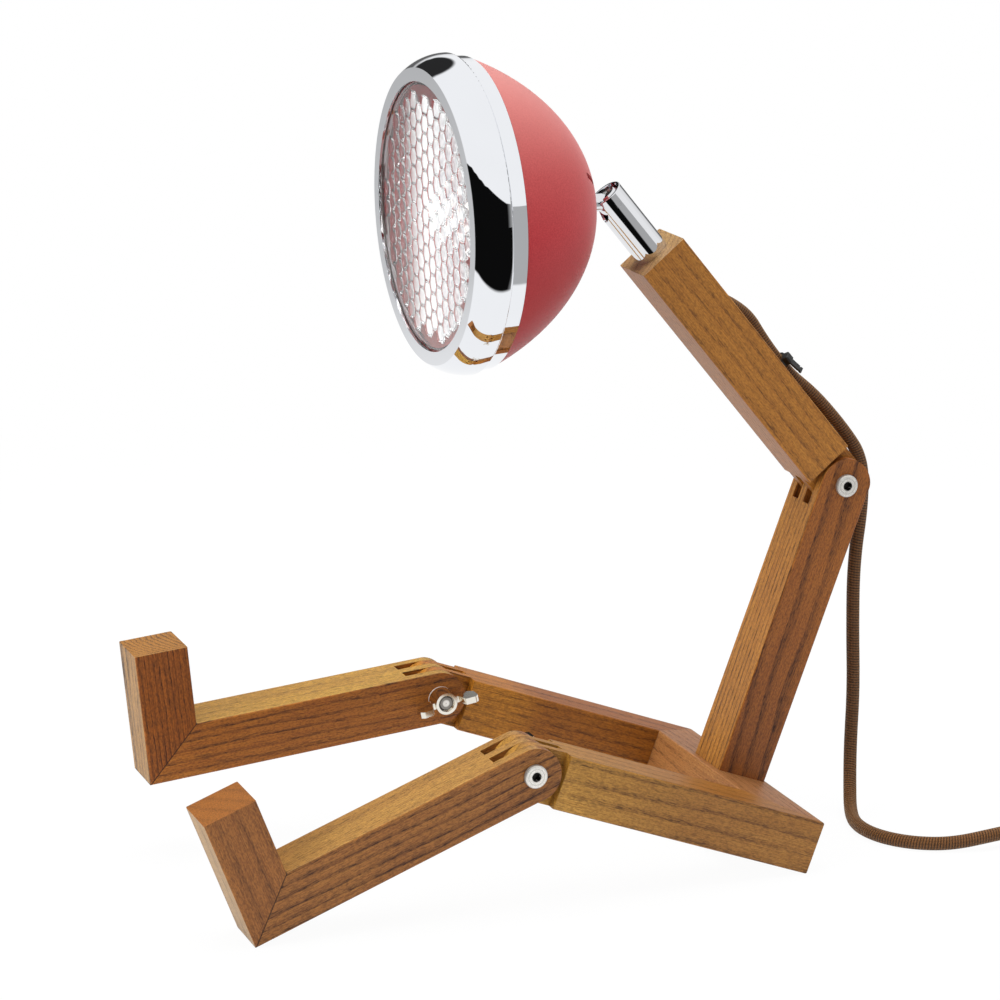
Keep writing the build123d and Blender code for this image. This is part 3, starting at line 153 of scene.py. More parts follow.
def coil_points():
    """Control points of the wound turns, a little outside them, as the spline cuts inside."""
    bulge = 1 / math.cos(math.pi / PER_TURN) ** 0.5
    points = []
    for k in range(1, len(TURNS) * PER_TURN):
        turn, part = divmod(k / PER_TURN, 1.0)
        turn = int(turn)
        radius, layer = TURNS[turn]
        height = LAYERS[layer]
        over = max(0.0, (part - MOVES_OVER) / (1 - MOVES_OVER))
        over = over * over * (3 - 2 * over)
        if turn + 1 < len(TURNS):
            next_radius, next_layer = TURNS[turn + 1]
            radius += (next_radius - radius) * over
            height += (LAYERS[next_layer] - height) * over
        angle = math.radians(90) + 2 * math.pi * k / PER_TURN
        x = COIL_CENTRE[0] + radius * bulge * math.cos(angle)
        y = COIL_CENTRE[1] + radius * bulge * math.sin(angle)
        points.append((x, y, height))
    return points


PLUG_TIP = (-33.0, 234.9)
PLUG_AXIS = LAID + 6.85
LEAD_ROUTE = [
    by_switch(SWITCH_END),
    by_switch(SWITCH_END + 17.0),
    (42.3, 235.5, FLOOR + 0.3),
    (26.6, 242.5, FLOOR),
    (9.5, 241.5, FLOOR),
]
TAIL_ROUTE = [
    (-10.0, 235.9, LAYERS[1]),
    (-23.0, 235.5, PLUG_AXIS),
    (*PLUG_TIP, PLUG_AXIS),
]


def spline_line(route):
    """Points along the route's smooth spline, in metres."""
    data = bpy.data.curves.new("route", "CURVE")
    data.dimensions = "3D"
    data.resolution_u = 10
    spline = data.splines.new("NURBS")
    spline.points.add(len(route) - 1)
    for point, place in zip(spline.points, route):
        point.co = (*model_mm(*place), 1.0)
    spline.order_u = 3
    spline.use_endpoint_u = True
    holder = add_object("route", data)
    bpy.context.view_layer.update()
    mesh = bpy.data.meshes.new_from_object(holder)
    line = [v.co.copy() for v in mesh.vertices]
    bpy.data.objects.remove(holder)
    bpy.data.meshes.remove(mesh)
    return line


def evenly(line, step):
    """The same line with points a step apart, and its length."""
    lengths = [0.0]
    for a, b in zip(line, line[1:]):
        lengths.append(lengths[-1] + (b - a).length)
    count = max(2, round(lengths[-1] / step))
    made, k = [], 0
    for i in range(count + 1):
        want = lengths[-1] * i / count
        while k < len(lengths) - 2 and lengths[k + 1] < want:
            k += 1
        share = (want - lengths[k]) / max(1e-9, lengths[k + 1] - lengths[k])
        made.append(line[k].lerp(line[k + 1], share))
    return made, lengths[-1]


def tube(name, line, radius, sides=20):
    """Closed tube along a line; UV runs round it and, in metres, along it."""
    mesh = bpy.data.meshes.new(name)
    shape = bmesh.new()
    uv = shape.loops.layers.uv.new("UVMap")
    angles = [2 * math.pi * k / sides for k in range(sides)]
    normal = None
    rings, travel = [], [0.0]
    for i, place in enumerate(line):
        ahead = line[min(i + 1, len(line) - 1)] - line[max(i - 1, 0)]
        ahead.normalize()
        if normal is None:
            normal = ahead.orthogonal().normalized()
        normal = (normal - ahead * normal.dot(ahead)).normalized()
        side = ahead.cross(normal)
        outward = [normal * math.cos(a) + side * math.sin(a) for a in angles]
        rings.append([shape.verts.new(place + way * radius) for way in outward])
        if i:
            travel.append(travel[-1] + (place - line[i - 1]).length)
    for i in range(len(rings) - 1):
        for k in range(sides):
            n = (k + 1) % sides
            face = shape.faces.new((rings[i][k], rings[i][n], rings[i + 1][n], rings[i + 1][k]))
            face.smooth = True
            places = ((k, i), (k + 1, i), (k + 1, i + 1), (k, i + 1))
            for loop, (a, b) in zip(face.loops, places):
                loop[uv].uv = (a / sides, travel[b])
    shape.faces.new(list(reversed(rings[0])))
    shape.faces.new(rings[-1])
    shape.to_mesh(mesh)
    shape.free()
    return add_object(name, mesh)


TUBE_STEP = 0.0015
upper_line, upper_length = evenly(spline_line(NECK_ROUTE + DROP_ROUTE), TUBE_STEP)
upper_cord = tube("lead_upper", upper_line, CORD_DIAMETER / 2)
lower_route = LEAD_ROUTE + coil_points() + TAIL_ROUTE
lower_line, lower_length = evenly(spline_line(lower_route), TUBE_STEP)
lower_cord = tube("lead_lower", lower_line, CORD_DIAMETER / 2)

# ---- Material helpers ----
WHITE = (1.0, 1.0, 1.0, 1.0)
BLACK = (0.004, 0.004, 0.004, 1.0)
HAZE_STOPS = [(0.35, 0.0), (0.7, 1.0)]


def srgb(red, green, blue):
    """Linear colour from one written in 0 to 255."""
    linear = []
    for value in (red, green, blue):
        share = value / 255
        linear.append(share / 12.92 if share <= 0.04045 else ((share + 0.055) / 1.055) ** 2.4)
    return (*linear, 1.0)


def darker(colour, factor):
    """Linear colour of a darker shade of one written in 0 to 255."""
    return srgb(*[c * factor for c in colour])


class Tree:
    """Short calls for one material's nodes. A socket or a number can go into any input."""

    def __init__(self, name):
        self.material = bpy.data.materials.new(name)
        self.material.use_nodes = True
        self.nodes = self.material.node_tree.nodes
        self.links = self.material.node_tree.links
        self.shader = self.nodes["Principled BSDF"]

    def put(self, node, key, value):
        """Links a socket to an input, or sets the input to a value."""
        socket = node.inputs[key]
        if isinstance(value, bpy.types.NodeSocket):
            self.links.new(value, socket)
        else:
            socket.default_value = value

    def add(self, kind, inputs=None, **settings):
        """A new node, with its inputs by name or number and its settings by name."""
        node = self.nodes.new(kind)
        for key, value in settings.items():
            setattr(node, key, value)
        for key, value in (inputs or {}).items():
            self.put(node, key, value)
        return node

    def coordinate(self, kind):
        """One of the texture coordinates, by its name."""
        return self.add("ShaderNodeTexCoord").outputs[kind]

    def split(self, vector):
        """The three parts of a vector."""
        return self.add("ShaderNodeSeparateXYZ", {0: vector}).outputs

    def math(self, operation, a, b=0.0, clamp=False):
        """A number from another or two others."""
        inputs = {0: a, 1: b}
        return self.add("ShaderNodeMath", inputs, operation=operation, use_clamp=clamp).outputs[0]

    def plus(self, a, b):
        return self.math("ADD", a, b)

    def times(self, a, b, clamp=False):
        return self.math("MULTIPLY", a, b, clamp)

    def vector(self, operation, a, b):
        """A vector from two others."""
        return self.add("ShaderNodeVectorMath", {0: a, 1: b}, operation=operation).outputs[0]

    def measure(self, operation, *vectors):
        """A number from one vector or two: a length or a dot product."""
        inputs = dict(enumerate(vectors))
        return self.add("ShaderNodeVectorMath", inputs, operation=operation).outputs["Value"]

    def noise(self, place, scale, detail=2.0, roughness=0.5, output=0):
        """Noise over a vector scaled by one number or three; its value runs from 0 to 1."""
        scales = scale if isinstance(scale, tuple) else (scale, scale, scale)
        at = self.vector("MULTIPLY", place, scales)
        inputs = {"Vector": at, "Scale": 1.0, "Detail": detail, "Roughness": roughness}
        return self.add("ShaderNodeTexNoise", inputs).outputs[output]

    def ramp(self, value, stops):
        """Stops are (position, colour) or (position, grey)."""
        node = self.add("ShaderNodeValToRGB", {0: value})
        band = node.color_ramp
        while len(band.elements) < len(stops):
            band.elements.new(0.5)
        for element, (position, colour) in zip(band.elements, stops):
            element.position = position
            grey = isinstance(colour, (int, float))
            element.color = (colour, colour, colour, 1.0) if grey else colour
        return node.outputs[0]

    def mix(self, share, a, b, blend="MIX"):
        """A colour between two others, from the first at a share of 0."""
        inputs = {0: share, 6: a, 7: b}
        return self.add("ShaderNodeMix", inputs, data_type="RGBA", blend_type=blend).outputs[2]

    def tinted(self, colour, factor):
        """A colour multiplied by another."""
        return self.mix(1.0, colour, factor, "MULTIPLY")

    def shader_mix(self, share, a, b):
        """A shader between two others, from the first at a share of 0."""
        return self.add("ShaderNodeMixShader", {0: share, 1: a, 2: b}).outputs[0]

    def sees(self, *kinds):
        """1 for rays of these kinds."""
        path = self.add("ShaderNodeLightPath")
        total = path.outputs[f"Is {kinds[0]} Ray"]
        for kind in kinds[1:]:
            total = self.math("MAXIMUM", total, path.outputs[f"Is {kind} Ray"])
        return total

    def bump(self, height, strength, distance):
        """Raises the surface by a height times a distance in metres."""
        inputs = {"Height": height, "Strength": strength, "Distance": distance}
        self.put(self.shader, "Normal", self.add("ShaderNodeBump", inputs).outputs[0])

    def local(self, place):
        """Object coordinates in millimetres in a frame of the drawing."""
        spot, turn, _ = place.decompose()
        inputs = {
            "Vector": self.coordinate("Object"),
            "Location": spot,
            "Rotation": turn.to_euler(),
            "Scale": (MM, MM, MM),
        }
        return self.add("ShaderNodeMapping", inputs, vector_type="TEXTURE").outputs[0]

    def shade(self, **values):
        """Sets the shader's inputs, by their names with _ for a space."""
        for key, value in values.items():
            self.put(self.shader, key.replace("_", " "), value)
        return self.material

    def show(self, shader):
        """Makes this shader's output the material's surface."""
        self.put(self.nodes["Material Output"], 0, shader)
        return self.material


def give(material, *names):
    """Puts the material on CAD nodes."""
    for name in names:
        data = NODES[name].data
        data.materials.clear()
        data.materials.append(material)
        for polygon in data.polygons:
            polygon.material_index = 0


# ---- Timber ----
SEED_STEP = (37.0, 19.0, 53.0)  # how far a seed of 1 moves a beam through the noise
# each noise's fineness per millimetre, twice across the grain and then along it, its detail
# and its roughness
SWAY_NOISE = ((0.018, 0.018, 0.0035), 1.0, 0.5)
SHAKE_NOISE = ((0.16, 0.16, 0.022), 3.0, 0.5)
PORE_NOISE = ((1.9, 1.9, 0.22), 3.0, 0.65)
STROKE_NOISE = ((1.3, 1.3, 0.07), 3.0, 0.6)
FIBRE_NOISE = ((3.2, 3.2, 0.03), 3.0, 0.7)
SPECKLE_NOISE = ((1.4, 1.4, 0.7), 3.0, 0.6)
PATCH_NOISE = ((0.035, 0.035, 0.010), 2.0, 0.5)
SWAY, SHAKE = 16, 2.2  # millimetres that the rings wander by, in long waves and in short
RING_STOPS = [(0.0, 0.7), (0.07, 1.0), (0.22, 0.6), (0.42, 0.08), (0.95, 0.0), (1.0, 0.7)]
PORE_STOPS = [(0.50, 0.0), (0.60, 1.0)]
SIDE_LIGHT_STOPS = [(0.80, 0.0), (0.92, 1.0)]  # how squarely a face has to look a side's way to take that side's painted light or shade
MITRE_STOPS = [(0.12, 0.85), (0.34, 0.0)]  # millimetres from the mitre, and its line's strength
TONE_SPAN = 150.0  # millimetres
PORE_SHADE, MITRE_SHADE = 0.72, 0.45  # how much darker these are than the dark colour


def growth_bands(t, spot, seed, pith, spacing):
    """1 along the early wood of each ring round the pith, which sways and shakes."""
    centre = (pith[0] + seed * SEED_STEP[0], pith[1] + seed * SEED_STEP[1], 0)
    around = t.vector("MULTIPLY", t.vector("SUBTRACT", spot, centre), (1, 1, 0))
    for noise, reach in ((SWAY_NOISE, SWAY), (SHAKE_NOISE, SHAKE)):
        wave = t.vector("SUBTRACT", t.noise(spot, *noise, "Color"), (0.5, 0.5, 0.5))
        around = t.vector("ADD", around, t.vector("MULTIPLY", wave, (reach, reach, 0)))
    ring = t.math("FRACT", t.math("DIVIDE", t.measure("LENGTH", around), spacing))
    return t.ramp(ring, RING_STOPS)


def timber(name, place, pith, spacing, colours, seed, streaks, faces, mitre=None, tone=None):
    """Oiled wood: rings round a pith line, short pores grouped along them, fibres and patches,
    and painted light and shade on chosen sides.

    The colours are the fibres' light and middle one and the pores' dark one. Faces are a
    side's direction, the colour factor of the light or shade painted on that side and how far
    it loses its bands. A mitre is a frame, a point and a normal; a fine dark line runs along
    it. A tone is two places along the beam, as shares of TONE_SPAN back from its end, and the
    colour factors before the first and beyond the second."""
    light, middle, dark = colours
    t = Tree(name)
    at = t.local(place)
    spot = t.vector("ADD", at, tuple(seed * step for step in SEED_STEP))
    early = growth_bands(t, spot, seed, pith, spacing)
    dashes = t.ramp(t.noise(spot, *PORE_NOISE), PORE_STOPS)
    strokes = t.ramp(t.noise(spot, *STROKE_NOISE), PORE_STOPS)
    fibres = t.noise(spot, *FIBRE_NOISE)
    speckle = t.noise(spot, *SPECKLE_NOISE)
    patches = t.noise(spot, *PATCH_NOISE)
    body = t.mix(t.ramp(fibres, [(0.38, 0.0), (0.62, 1.0)]), srgb(*light), srgb(*middle))
    body = t.mix(t.ramp(patches, [(0.36, 0.0), (0.66, 0.6)]), body, srgb(*middle))
    body = t.mix(t.ramp(speckle, [(0.43, 0.0), (0.62, 0.42)]), body, srgb(*dark))

    outward = t.coordinate("Normal")
    side_light_tints, plainer = [], 0.0
    # painted light and shade: each listed side is multiplied by its colour factor
    for direction, factor, calm in faces:
        share = t.ramp(t.measure("DOT_PRODUCT", outward, direction), SIDE_LIGHT_STOPS)
        side_light_tints.append(t.mix(share, WHITE, (*factor, 1.0)))
        plainer = t.plus(plainer, t.times(share, calm))
    bands = t.times(early, t.ramp(patches, [(0.34, 0.45), (0.58, 1.0)]))
    bands = t.times(bands, t.math("SUBTRACT", 1.0, plainer))
    lines = t.times(bands, t.plus(t.times(strokes, 0.55), 0.45))
    body = t.mix(t.times(lines, 0.95 * streaks, clamp=True), body, srgb(*dark))
    amount = t.plus(t.plus(t.times(bands, 0.75 * streaks), 0.26), t.times(plainer, 0.3))
    marks = t.times(dashes, amount, clamp=True)
    body = t.mix(marks, body, darker(dark, PORE_SHADE))
    for tint in side_light_tints:
        body = t.tinted(body, tint)
    if tone:
        start, end, near_end, far_end = tone
        back = t.math("DIVIDE", t.split(at)[2], -TONE_SPAN)
        share = t.ramp(back, [(start, 0.0), (end, 1.0)])
        body = t.tinted(body, t.mix(share, (*near_end, 1.0), (*far_end, 1.0)))
    if mitre:
        frame_of, point, normal = mitre
        from_point = t.vector("SUBTRACT", t.local(frame_of), point)
        off = t.measure("DOT_PRODUCT", from_point, Vector(normal).normalized())
        line = t.ramp(t.math("ABSOLUTE", off), MITRE_STOPS)
        body = t.mix(line, body, darker(dark, MITRE_SHADE))
    t.bump(t.times(marks, -1.0), 0.4, 0.00014)
    rough = t.plus(t.times(marks, 0.20), 0.42)
    return t.shade(Base_Color=body, Roughness=rough, Specular_IOR_Level=0.34)


# the beams' frames: each has the grain along its Z
UP = Vector((0, 0, 1))
SHINS = {s: turned(KNEE[s], 90 + SHIN_DROP[s]) for s in KNEE}
FEET = {s: turned(KNEE[s], SHIN_DROP[s]) for s in KNEE}
THIGHS = {s: turned(KNEE[s], 90 - HIP_TILT) for s in KNEE}
BAR = HIPS @ Matrix.Rotation(math.radians(90), 4, "Y")
MITRES = {s: (SHINS[s], (0, 0, 130.5), (0, 1, 1)) for s in KNEE}


def side_of(place, way):
    """Direction of a beam's side: 1 or -1 for its frame's Y, 0 for its Z."""
    return place.to_3x3() @ (Vector((0, way, 0)) if way else UP)


HIPS_TOP = side_of(HIPS, 0)
# painted light and shade: each faces list lightens, whitens as by sheen, or darkens one side of a
# beam
LOOKS = {
    "left_shin": dict(
        place=SHINS["left"],
        pith=(-34, -52),
        spacing=3.4,
        colours=((176, 118, 53), (143, 88, 40), (62, 32, 15)),
        seed=1,
        streaks=1.1,
        faces=[(side_of(SHINS["left"], 1), (1.33, 1.77, 2.05), 0.7)],
        mitre=MITRES["left"],
    ),
    "left_foot": dict(
        place=FEET["left"],
        pith=(-48, 12),
        spacing=7.0,
        colours=((168, 108, 49), (138, 83, 36), (66, 35, 18)),
        seed=2,
        streaks=0.5,
        faces=[(side_of(FEET["left"], -1), (1.28, 2.0, 3.3), 0.0)],
        mitre=MITRES["left"],
    ),
    "right_shin": dict(
        place=SHINS["right"],
        pith=(-30, -56),
        spacing=3.1,
        colours=((184, 115, 40), (151, 84, 30), (57, 27, 11)),
        seed=3,
        streaks=1.25,
        faces=[(side_of(SHINS["right"], 1), (1.36, 2.25, 2.45), 0.7)],
        mitre=MITRES["right"],
    ),
    "right_foot": dict(
        place=FEET["right"],
        pith=(-66, 60),
        spacing=2.0,
        colours=((164, 92, 28), (132, 69, 20), (40, 18, 7)),
        seed=4,
        streaks=1.5,
        faces=[
            (side_of(FEET["right"], -1), (1.34, 2.4, 4.8), 0.0),
            (UP, (1.30, 2.0, 2.8), 0.0),
        ],
        mitre=MITRES["right"],
    ),
    "left_thigh": dict(
        place=THIGHS["left"],
        pith=(-50, -60),
        spacing=5.0,
        colours=((194, 140, 70), (162, 110, 49), (84, 48, 22)),
        seed=5,
        streaks=0.7,
        faces=[(HIPS_TOP, (0.95, 0.88, 0.80), 0.0)],
        tone=(0.14, 0.56, (1.12, 1.22, 0.95), (0.86, 0.82, 0.70)),
    ),
    "right_thigh": dict(
        place=THIGHS["right"],
        pith=(-30, -70),
        spacing=3.6,
        colours=((171, 106, 42), (138, 79, 27), (68, 35, 14)),
        seed=6,
        streaks=0.9,
        faces=[(HIPS_TOP, (0.88, 0.80, 0.78), 0.0)],
        tone=(0.24, 0.36, (1.62, 1.92, 1.28), (1.08, 1.10, 0.86)),
    ),
    "hip_crossbar": dict(
        place=BAR,
        pith=(60, 48),
        spacing=4.0,
        colours=((176, 125, 72), (154, 100, 55), (99, 58, 33)),
        seed=7,
        streaks=0.8,
        faces=[(HIPS_TOP, (0.95, 0.95, 1.05), 0.0)],
    ),
    "torso_post": dict(
        place=HIPS,
        pith=(-60, -50),
        spacing=3.6,
        colours=((176, 108, 41), (141, 79, 28), (62, 30, 12)),
        seed=8,
        streaks=1.0,
        faces=[(side_of(HIPS, -1), (1.37, 1.82, 2.28), 0.0)],
    ),
    "neck_beam": dict(
        place=NECK,
        pith=(-50, -50),
        spacing=3.1,
        colours=((196, 133, 51), (168, 108, 40), (98, 57, 23)),
        seed=9,
        streaks=0.55,
        faces=[
            (side_of(NECK, -1), (0.80, 0.74, 0.70), 0.0),
            (side_of(NECK, 0), (1.04, 1.58, 4.4), 0.0),
        ],
    ),
}
for node, look in LOOKS.items():
    give(timber("timber_" + node, **look), node)


# ---- Metals ----
def metal(name, colour, rough, smudge=0.02, grain=900.0, shine=1.0):
    """Plated metal with a fine haze and wide smudges in its gloss."""
    t = Tree(name)
    at = t.coordinate("Object")
    haze = t.noise(at, grain, 3.0)
    wide = t.noise(at, 40, 2.0)
    tint = t.mix(t.times(wide, 0.25), srgb(*colour), darker(colour, 0.93))
    change = t.times(t.plus(haze, wide), smudge)
    return t.shade(Base_Color=tint, Metallic=shine, Roughness=t.plus(change, rough))


mirror = metal("bezel_mirror", (238, 240, 244), 0.008, 0.006, 300.0)
nickel = metal("bolt_nickel", (236, 233, 226), 0.38, 0.06, shine=0.45)
nut_nickel = metal("nut_nickel", (236, 230, 218), 0.05, 0.03)
tube_metal = metal("tube_metal", (228, 229, 232), 0.02, 0.02)
zinc = metal("inner_zinc", (190, 190, 186), 0.30, 0.10)

BOLT_SPAN = 10.0  # millimetres that the rings of a bolt's head and tail are shares of
# painted shade down in the socket, then a fine dark ring, then painted shade on the chamfered
# edge
SOCKET_AND_RIM_SHADE = [
    (0.205, 0.0),
    (0.235, 1.0),
    (0.345, 1.0),
    (0.365, 0.6),
    (0.385, 1.0),
    (0.47, 1.0),
    (0.52, 0.55),
]
# a painted reflection on the rounded end: a centre mark, then bright metal, then a dark ring
TAIL_END_REFLECTION = [(0.0, 0.5), (0.06, 1.0), (0.14, 0.9), (0.19, 0.25)]
HEAD_FROM = 10.0  # millimetres from the joint's middle to its head; all before is tail


def bolt_look(name, joint, head):
    """Plated head on the joint's side head, with painted shade down in its socket and along its
    rim, and a painted reflection on the tail's end.
    """
    t = Tree(name)
    at = t.local(turned(joint, 0))
    radius = t.measure("LENGTH", t.vector("MULTIPLY", at, (0, 1, 1)))
    part = t.math("DIVIDE", radius, BOLT_SPAN)
    haze = t.ramp(t.noise(at, 0.9, 3.0), HAZE_STOPS)
    silver = t.mix(haze, srgb(246, 243, 237), srgb(230, 226, 218))
    # painted shade in the socket and on the rim; painted reflection rings on the tail's end
    headed = t.mix(t.ramp(part, SOCKET_AND_RIM_SHADE), srgb(34, 31, 28), silver)
    ended = t.mix(t.ramp(part, TAIL_END_REFLECTION), srgb(60, 50, 40), silver)
    tail = t.math("LESS_THAN", t.times(t.split(at)[0], head), HEAD_FROM)
    rings = t.times(t.math("SINE", t.times(radius, 14.0)), 0.03)
    rough = t.math("SUBTRACT", t.plus(rings, 0.3), t.times(tail, 0.2))
    return t.shade(Base_Color=t.mix(tail, headed, ended), Metallic=0.7, Roughness=rough)


for node, joint, head in (
    ("left_knee", KNEE["left"], 1),
    ("right_knee", KNEE["right"], -1),
    ("elbow", ELBOW, 1),
):
    give(bolt_look(node + "_silver", joint, head), node + "_bolt")
    give(nickel, node + "_washer")
    give(nut_nickel, node + "_wing_nut")
give(mirror, "bezel_ring")
give(tube_metal, "swivel_tube", "cross_pin", "knuckle")
give(zinc, "knuckle_grub_screw", "swivel_insert", "swivel_set_screw", "post_screw", "stem_nut")
give(zinc, "lens_retainer", "dome_washer", "lamp_bracket", "holder_screws")
give(zinc, "bulb_pins", "plug_pins")


# ---- Plastics, paint and the rest ----
def plastic(name, colour, rough, bump=0.25):
    """Finely grained plastic, a little uneven in its colour."""
    t = Tree(name)
    at = t.coordinate("Object")
    grain = t.noise(at, 1400.0, 2.0)
    wide = t.noise(at, 60, 2.0)
    tint = t.mix(t.times(wide, 0.5), srgb(*colour), darker(colour, 0.8))
    t.bump(grain, bump, 0.00008)
    return t.shade(Base_Color=tint, Roughness=t.plus(t.times(grain, 0.1), rough))


give(plastic("black_nylon", (26, 25, 25), 0.38), "clip_tie", "clip_base", "coil_tie")
give(plastic("black_relief", (24, 23, 22), 0.5), "switch_reliefs", "plug_relief")
give(plastic("black_case", (30, 28, 27), 0.42, 0.5), "switch_base", "switch_cover", "plug_body")
give(plastic("black_rocker", (34, 32, 31), 0.22, 0.1), "switch_rocker")
give(plastic("white_holder", (232, 230, 222), 0.3, 0.15), "lamp_holder")
give(plastic("clear_gasket", (196, 190, 192), 0.5), "lens_gasket")
give(plastic("flex_sheath", (44, 30, 22), 0.6), "bore_lead", "tube_lead", "head_wires")
beech = plastic("beech", (205, 170, 125), 0.6)
give(beech, "hip_dowels", "post_dowels", "left_foot_dowels", "right_foot_dowels")


def shell_paint():
    """Matte red powder coat, finely grained, with a painted pale sheen on top and painted shade
    below.
    """
    t = Tree("shell_red")
    at = t.coordinate("Object")
    grain = t.noise(at, 1500, 3.0, 0.6)
    wide = t.noise(at, 25, 2.0)
    tint = t.mix(t.ramp(grain, HAZE_STOPS), srgb(170, 43, 49), srgb(196, 63, 67))
    tint = t.mix(t.times(wide, 0.3), tint, srgb(174, 41, 48))
    upward = t.split(t.coordinate("Normal"))[2]
    # painted sheen: faces that look up are paled towards pink
    painted_top_sheen = t.ramp(upward, [(0.0, 0.0), (0.35, 0.25), (0.85, 0.85)])
    tint = t.mix(painted_top_sheen, tint, t.mix(grain, srgb(180, 110, 105), srgb(194, 128, 120)))
    # painted shade: faces that look down are darkened
    painted_under_shade = t.ramp(t.times(upward, -1.0), [(0.0, 0.0), (0.7, 0.8)])
    tint = t.mix(painted_under_shade, tint, srgb(140, 23, 27))
    t.bump(grain, 0.5, 0.00012)
    return t.shade(
        Base_Color=tint,
        Roughness=0.52,
        Specular_IOR_Level=0.2,
        Sheen_Weight=0.25,
        Sheen_Roughness=0.35,
        Sheen_Tint=(1.0, 0.86, 0.84, 1.0),
    )


give(shell_paint(), "head_shell")


def bulb_glass():
    """Frosted glass that glows faintly."""
    t = Tree("bulb_frosted")
    grain = t.noise(t.coordinate("Object"), 700, 2.0)
    return t.shade(
        Base_Color=t.mix(grain, srgb(248, 246, 240), srgb(255, 254, 250)),
        Roughness=0.35,
        Emission_Color=(1.0, 0.97, 0.92, 1.0),
        Emission_Strength=1.2,
    )


give(bulb_glass(), "led_bulb")

RIB_PITCH = 0.0013  # metres along the cord
STRANDS = 7.0


def braid():
    """Woven brown jacket: slanting transverse ribs, split into strands round it, with painted
    shade in the grooves and lighter crowns.
    """
    t = Tree("cord_braid")
    at = t.split(t.coordinate("UV"))
    around = t.times(at[0], 2 * math.pi)
    onward = t.times(at[1], 2 * math.pi / RIB_PITCH)
    ribs = t.math("ABSOLUTE", t.math("SINE", t.plus(t.times(onward, 0.5), around)))
    strands = t.math("ABSOLUTE", t.math("SINE", t.times(around, STRANDS)))
    height = t.times(ribs, t.plus(t.times(strands, 0.35), 0.65))
    spot = t.coordinate("Object")
    fuzz = t.noise(spot, 2500, 2.0)
    wide = t.noise(spot, 120, 2.0)
    # painted shade: the colour runs with the weave's height, near black down in the grooves,
    # light brown on the crowns
    tint = t.mix(t.ramp(height, [(0.15, 0.0), (0.8, 1.0)]), srgb(34, 19, 8), srgb(116, 76, 39))
    tint = t.mix(t.times(wide, 0.35), tint, srgb(92, 62, 36))
    t.bump(t.plus(height, t.times(fuzz, 0.4)), 0.8, 0.0004)
    return t.shade(
        Base_Color=tint,
        Roughness=0.6,
        Specular_IOR_Level=0.3,
        Sheen_Weight=0.35,
        Sheen_Roughness=0.35,
        Sheen_Tint=srgb(230, 196, 150),
    )


cord_look = braid()
for cord_object in (upper_cord, lower_cord):
    cord_object.data.materials.append(cord_look)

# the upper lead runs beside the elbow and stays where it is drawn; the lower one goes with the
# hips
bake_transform(upper_cord)
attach(lower_cord, "hips")
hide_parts("cord_neck", "cord_drop")
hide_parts("cord_lead", "cord_coil", "cord_tail")

# ---- Lens, in the rim's frame and millimetres: +Z runs back into the head ----
LENS_RADIUS = 63.5
LENS_OPENING = 59.5
LENS_FRONT = 1.5
LENS_BACK = 4.5
LENS_CROWN = 1.2
LENS_SIDES = 396
FRONT_ROWS, BACK_ROWS = 33, 132
CELL_WIDTH = 7.4
CELL_HEIGHT = 8.2
CELL_RISE = 2.2
CELL_SLIM = 1.16  # how much nearer a cell's sides are than its ends
FIELD_RADIUS = 54.5  # no pillow's middle is within 2 mm of this circle or beyond it
BORDER_RADIUS, BORDER_STEP = 58.5, 0.2  # the plain ring outside the pillows


def cell_share(x, y):
    """1 in the middle of a pillow and 0 at its edge; tall six-sided cells in shifted columns."""
    column = round(x / CELL_WIDTH)
    reach = []
    for c in (column - 1, column, column + 1):
        shift = 0.5 * CELL_HEIGHT if c % 2 else 0.0
        row = round((y - shift) / CELL_HEIGHT)
        for r in (row - 1, row, row + 1):
            cx, cy = c * CELL_WIDTH, r * CELL_HEIGHT + shift
            reach.append((math.hypot((x - cx) * CELL_SLIM, y - cy), cx, cy))
    reach.sort()
    near, cx, cy = reach[0]
    if math.hypot(cx, cy) > FIELD_RADIUS - 2.0:
        return 0.0
    return max(0.0, min(1.0, (reach[1][0] - near) / CELL_HEIGHT))


def cell_height(x, y):
    """Height of the pillow at a place."""
    return CELL_RISE * math.sqrt(1 - (1 - cell_share(x, y)) ** 2)


def lens_front(x, y):
    """The front's shallow crown."""
    share = min(1.0, math.hypot(x, y) / LENS_OPENING)
    return LENS_FRONT - LENS_CROWN * (1 - share**2)


def lens_back(x, y):
    """The back's pillows, and the plain ring round them."""
    if math.hypot(x, y) < BORDER_RADIUS:
        return LENS_BACK - CELL_RISE + cell_height(x, y)
    return LENS_BACK - BORDER_STEP


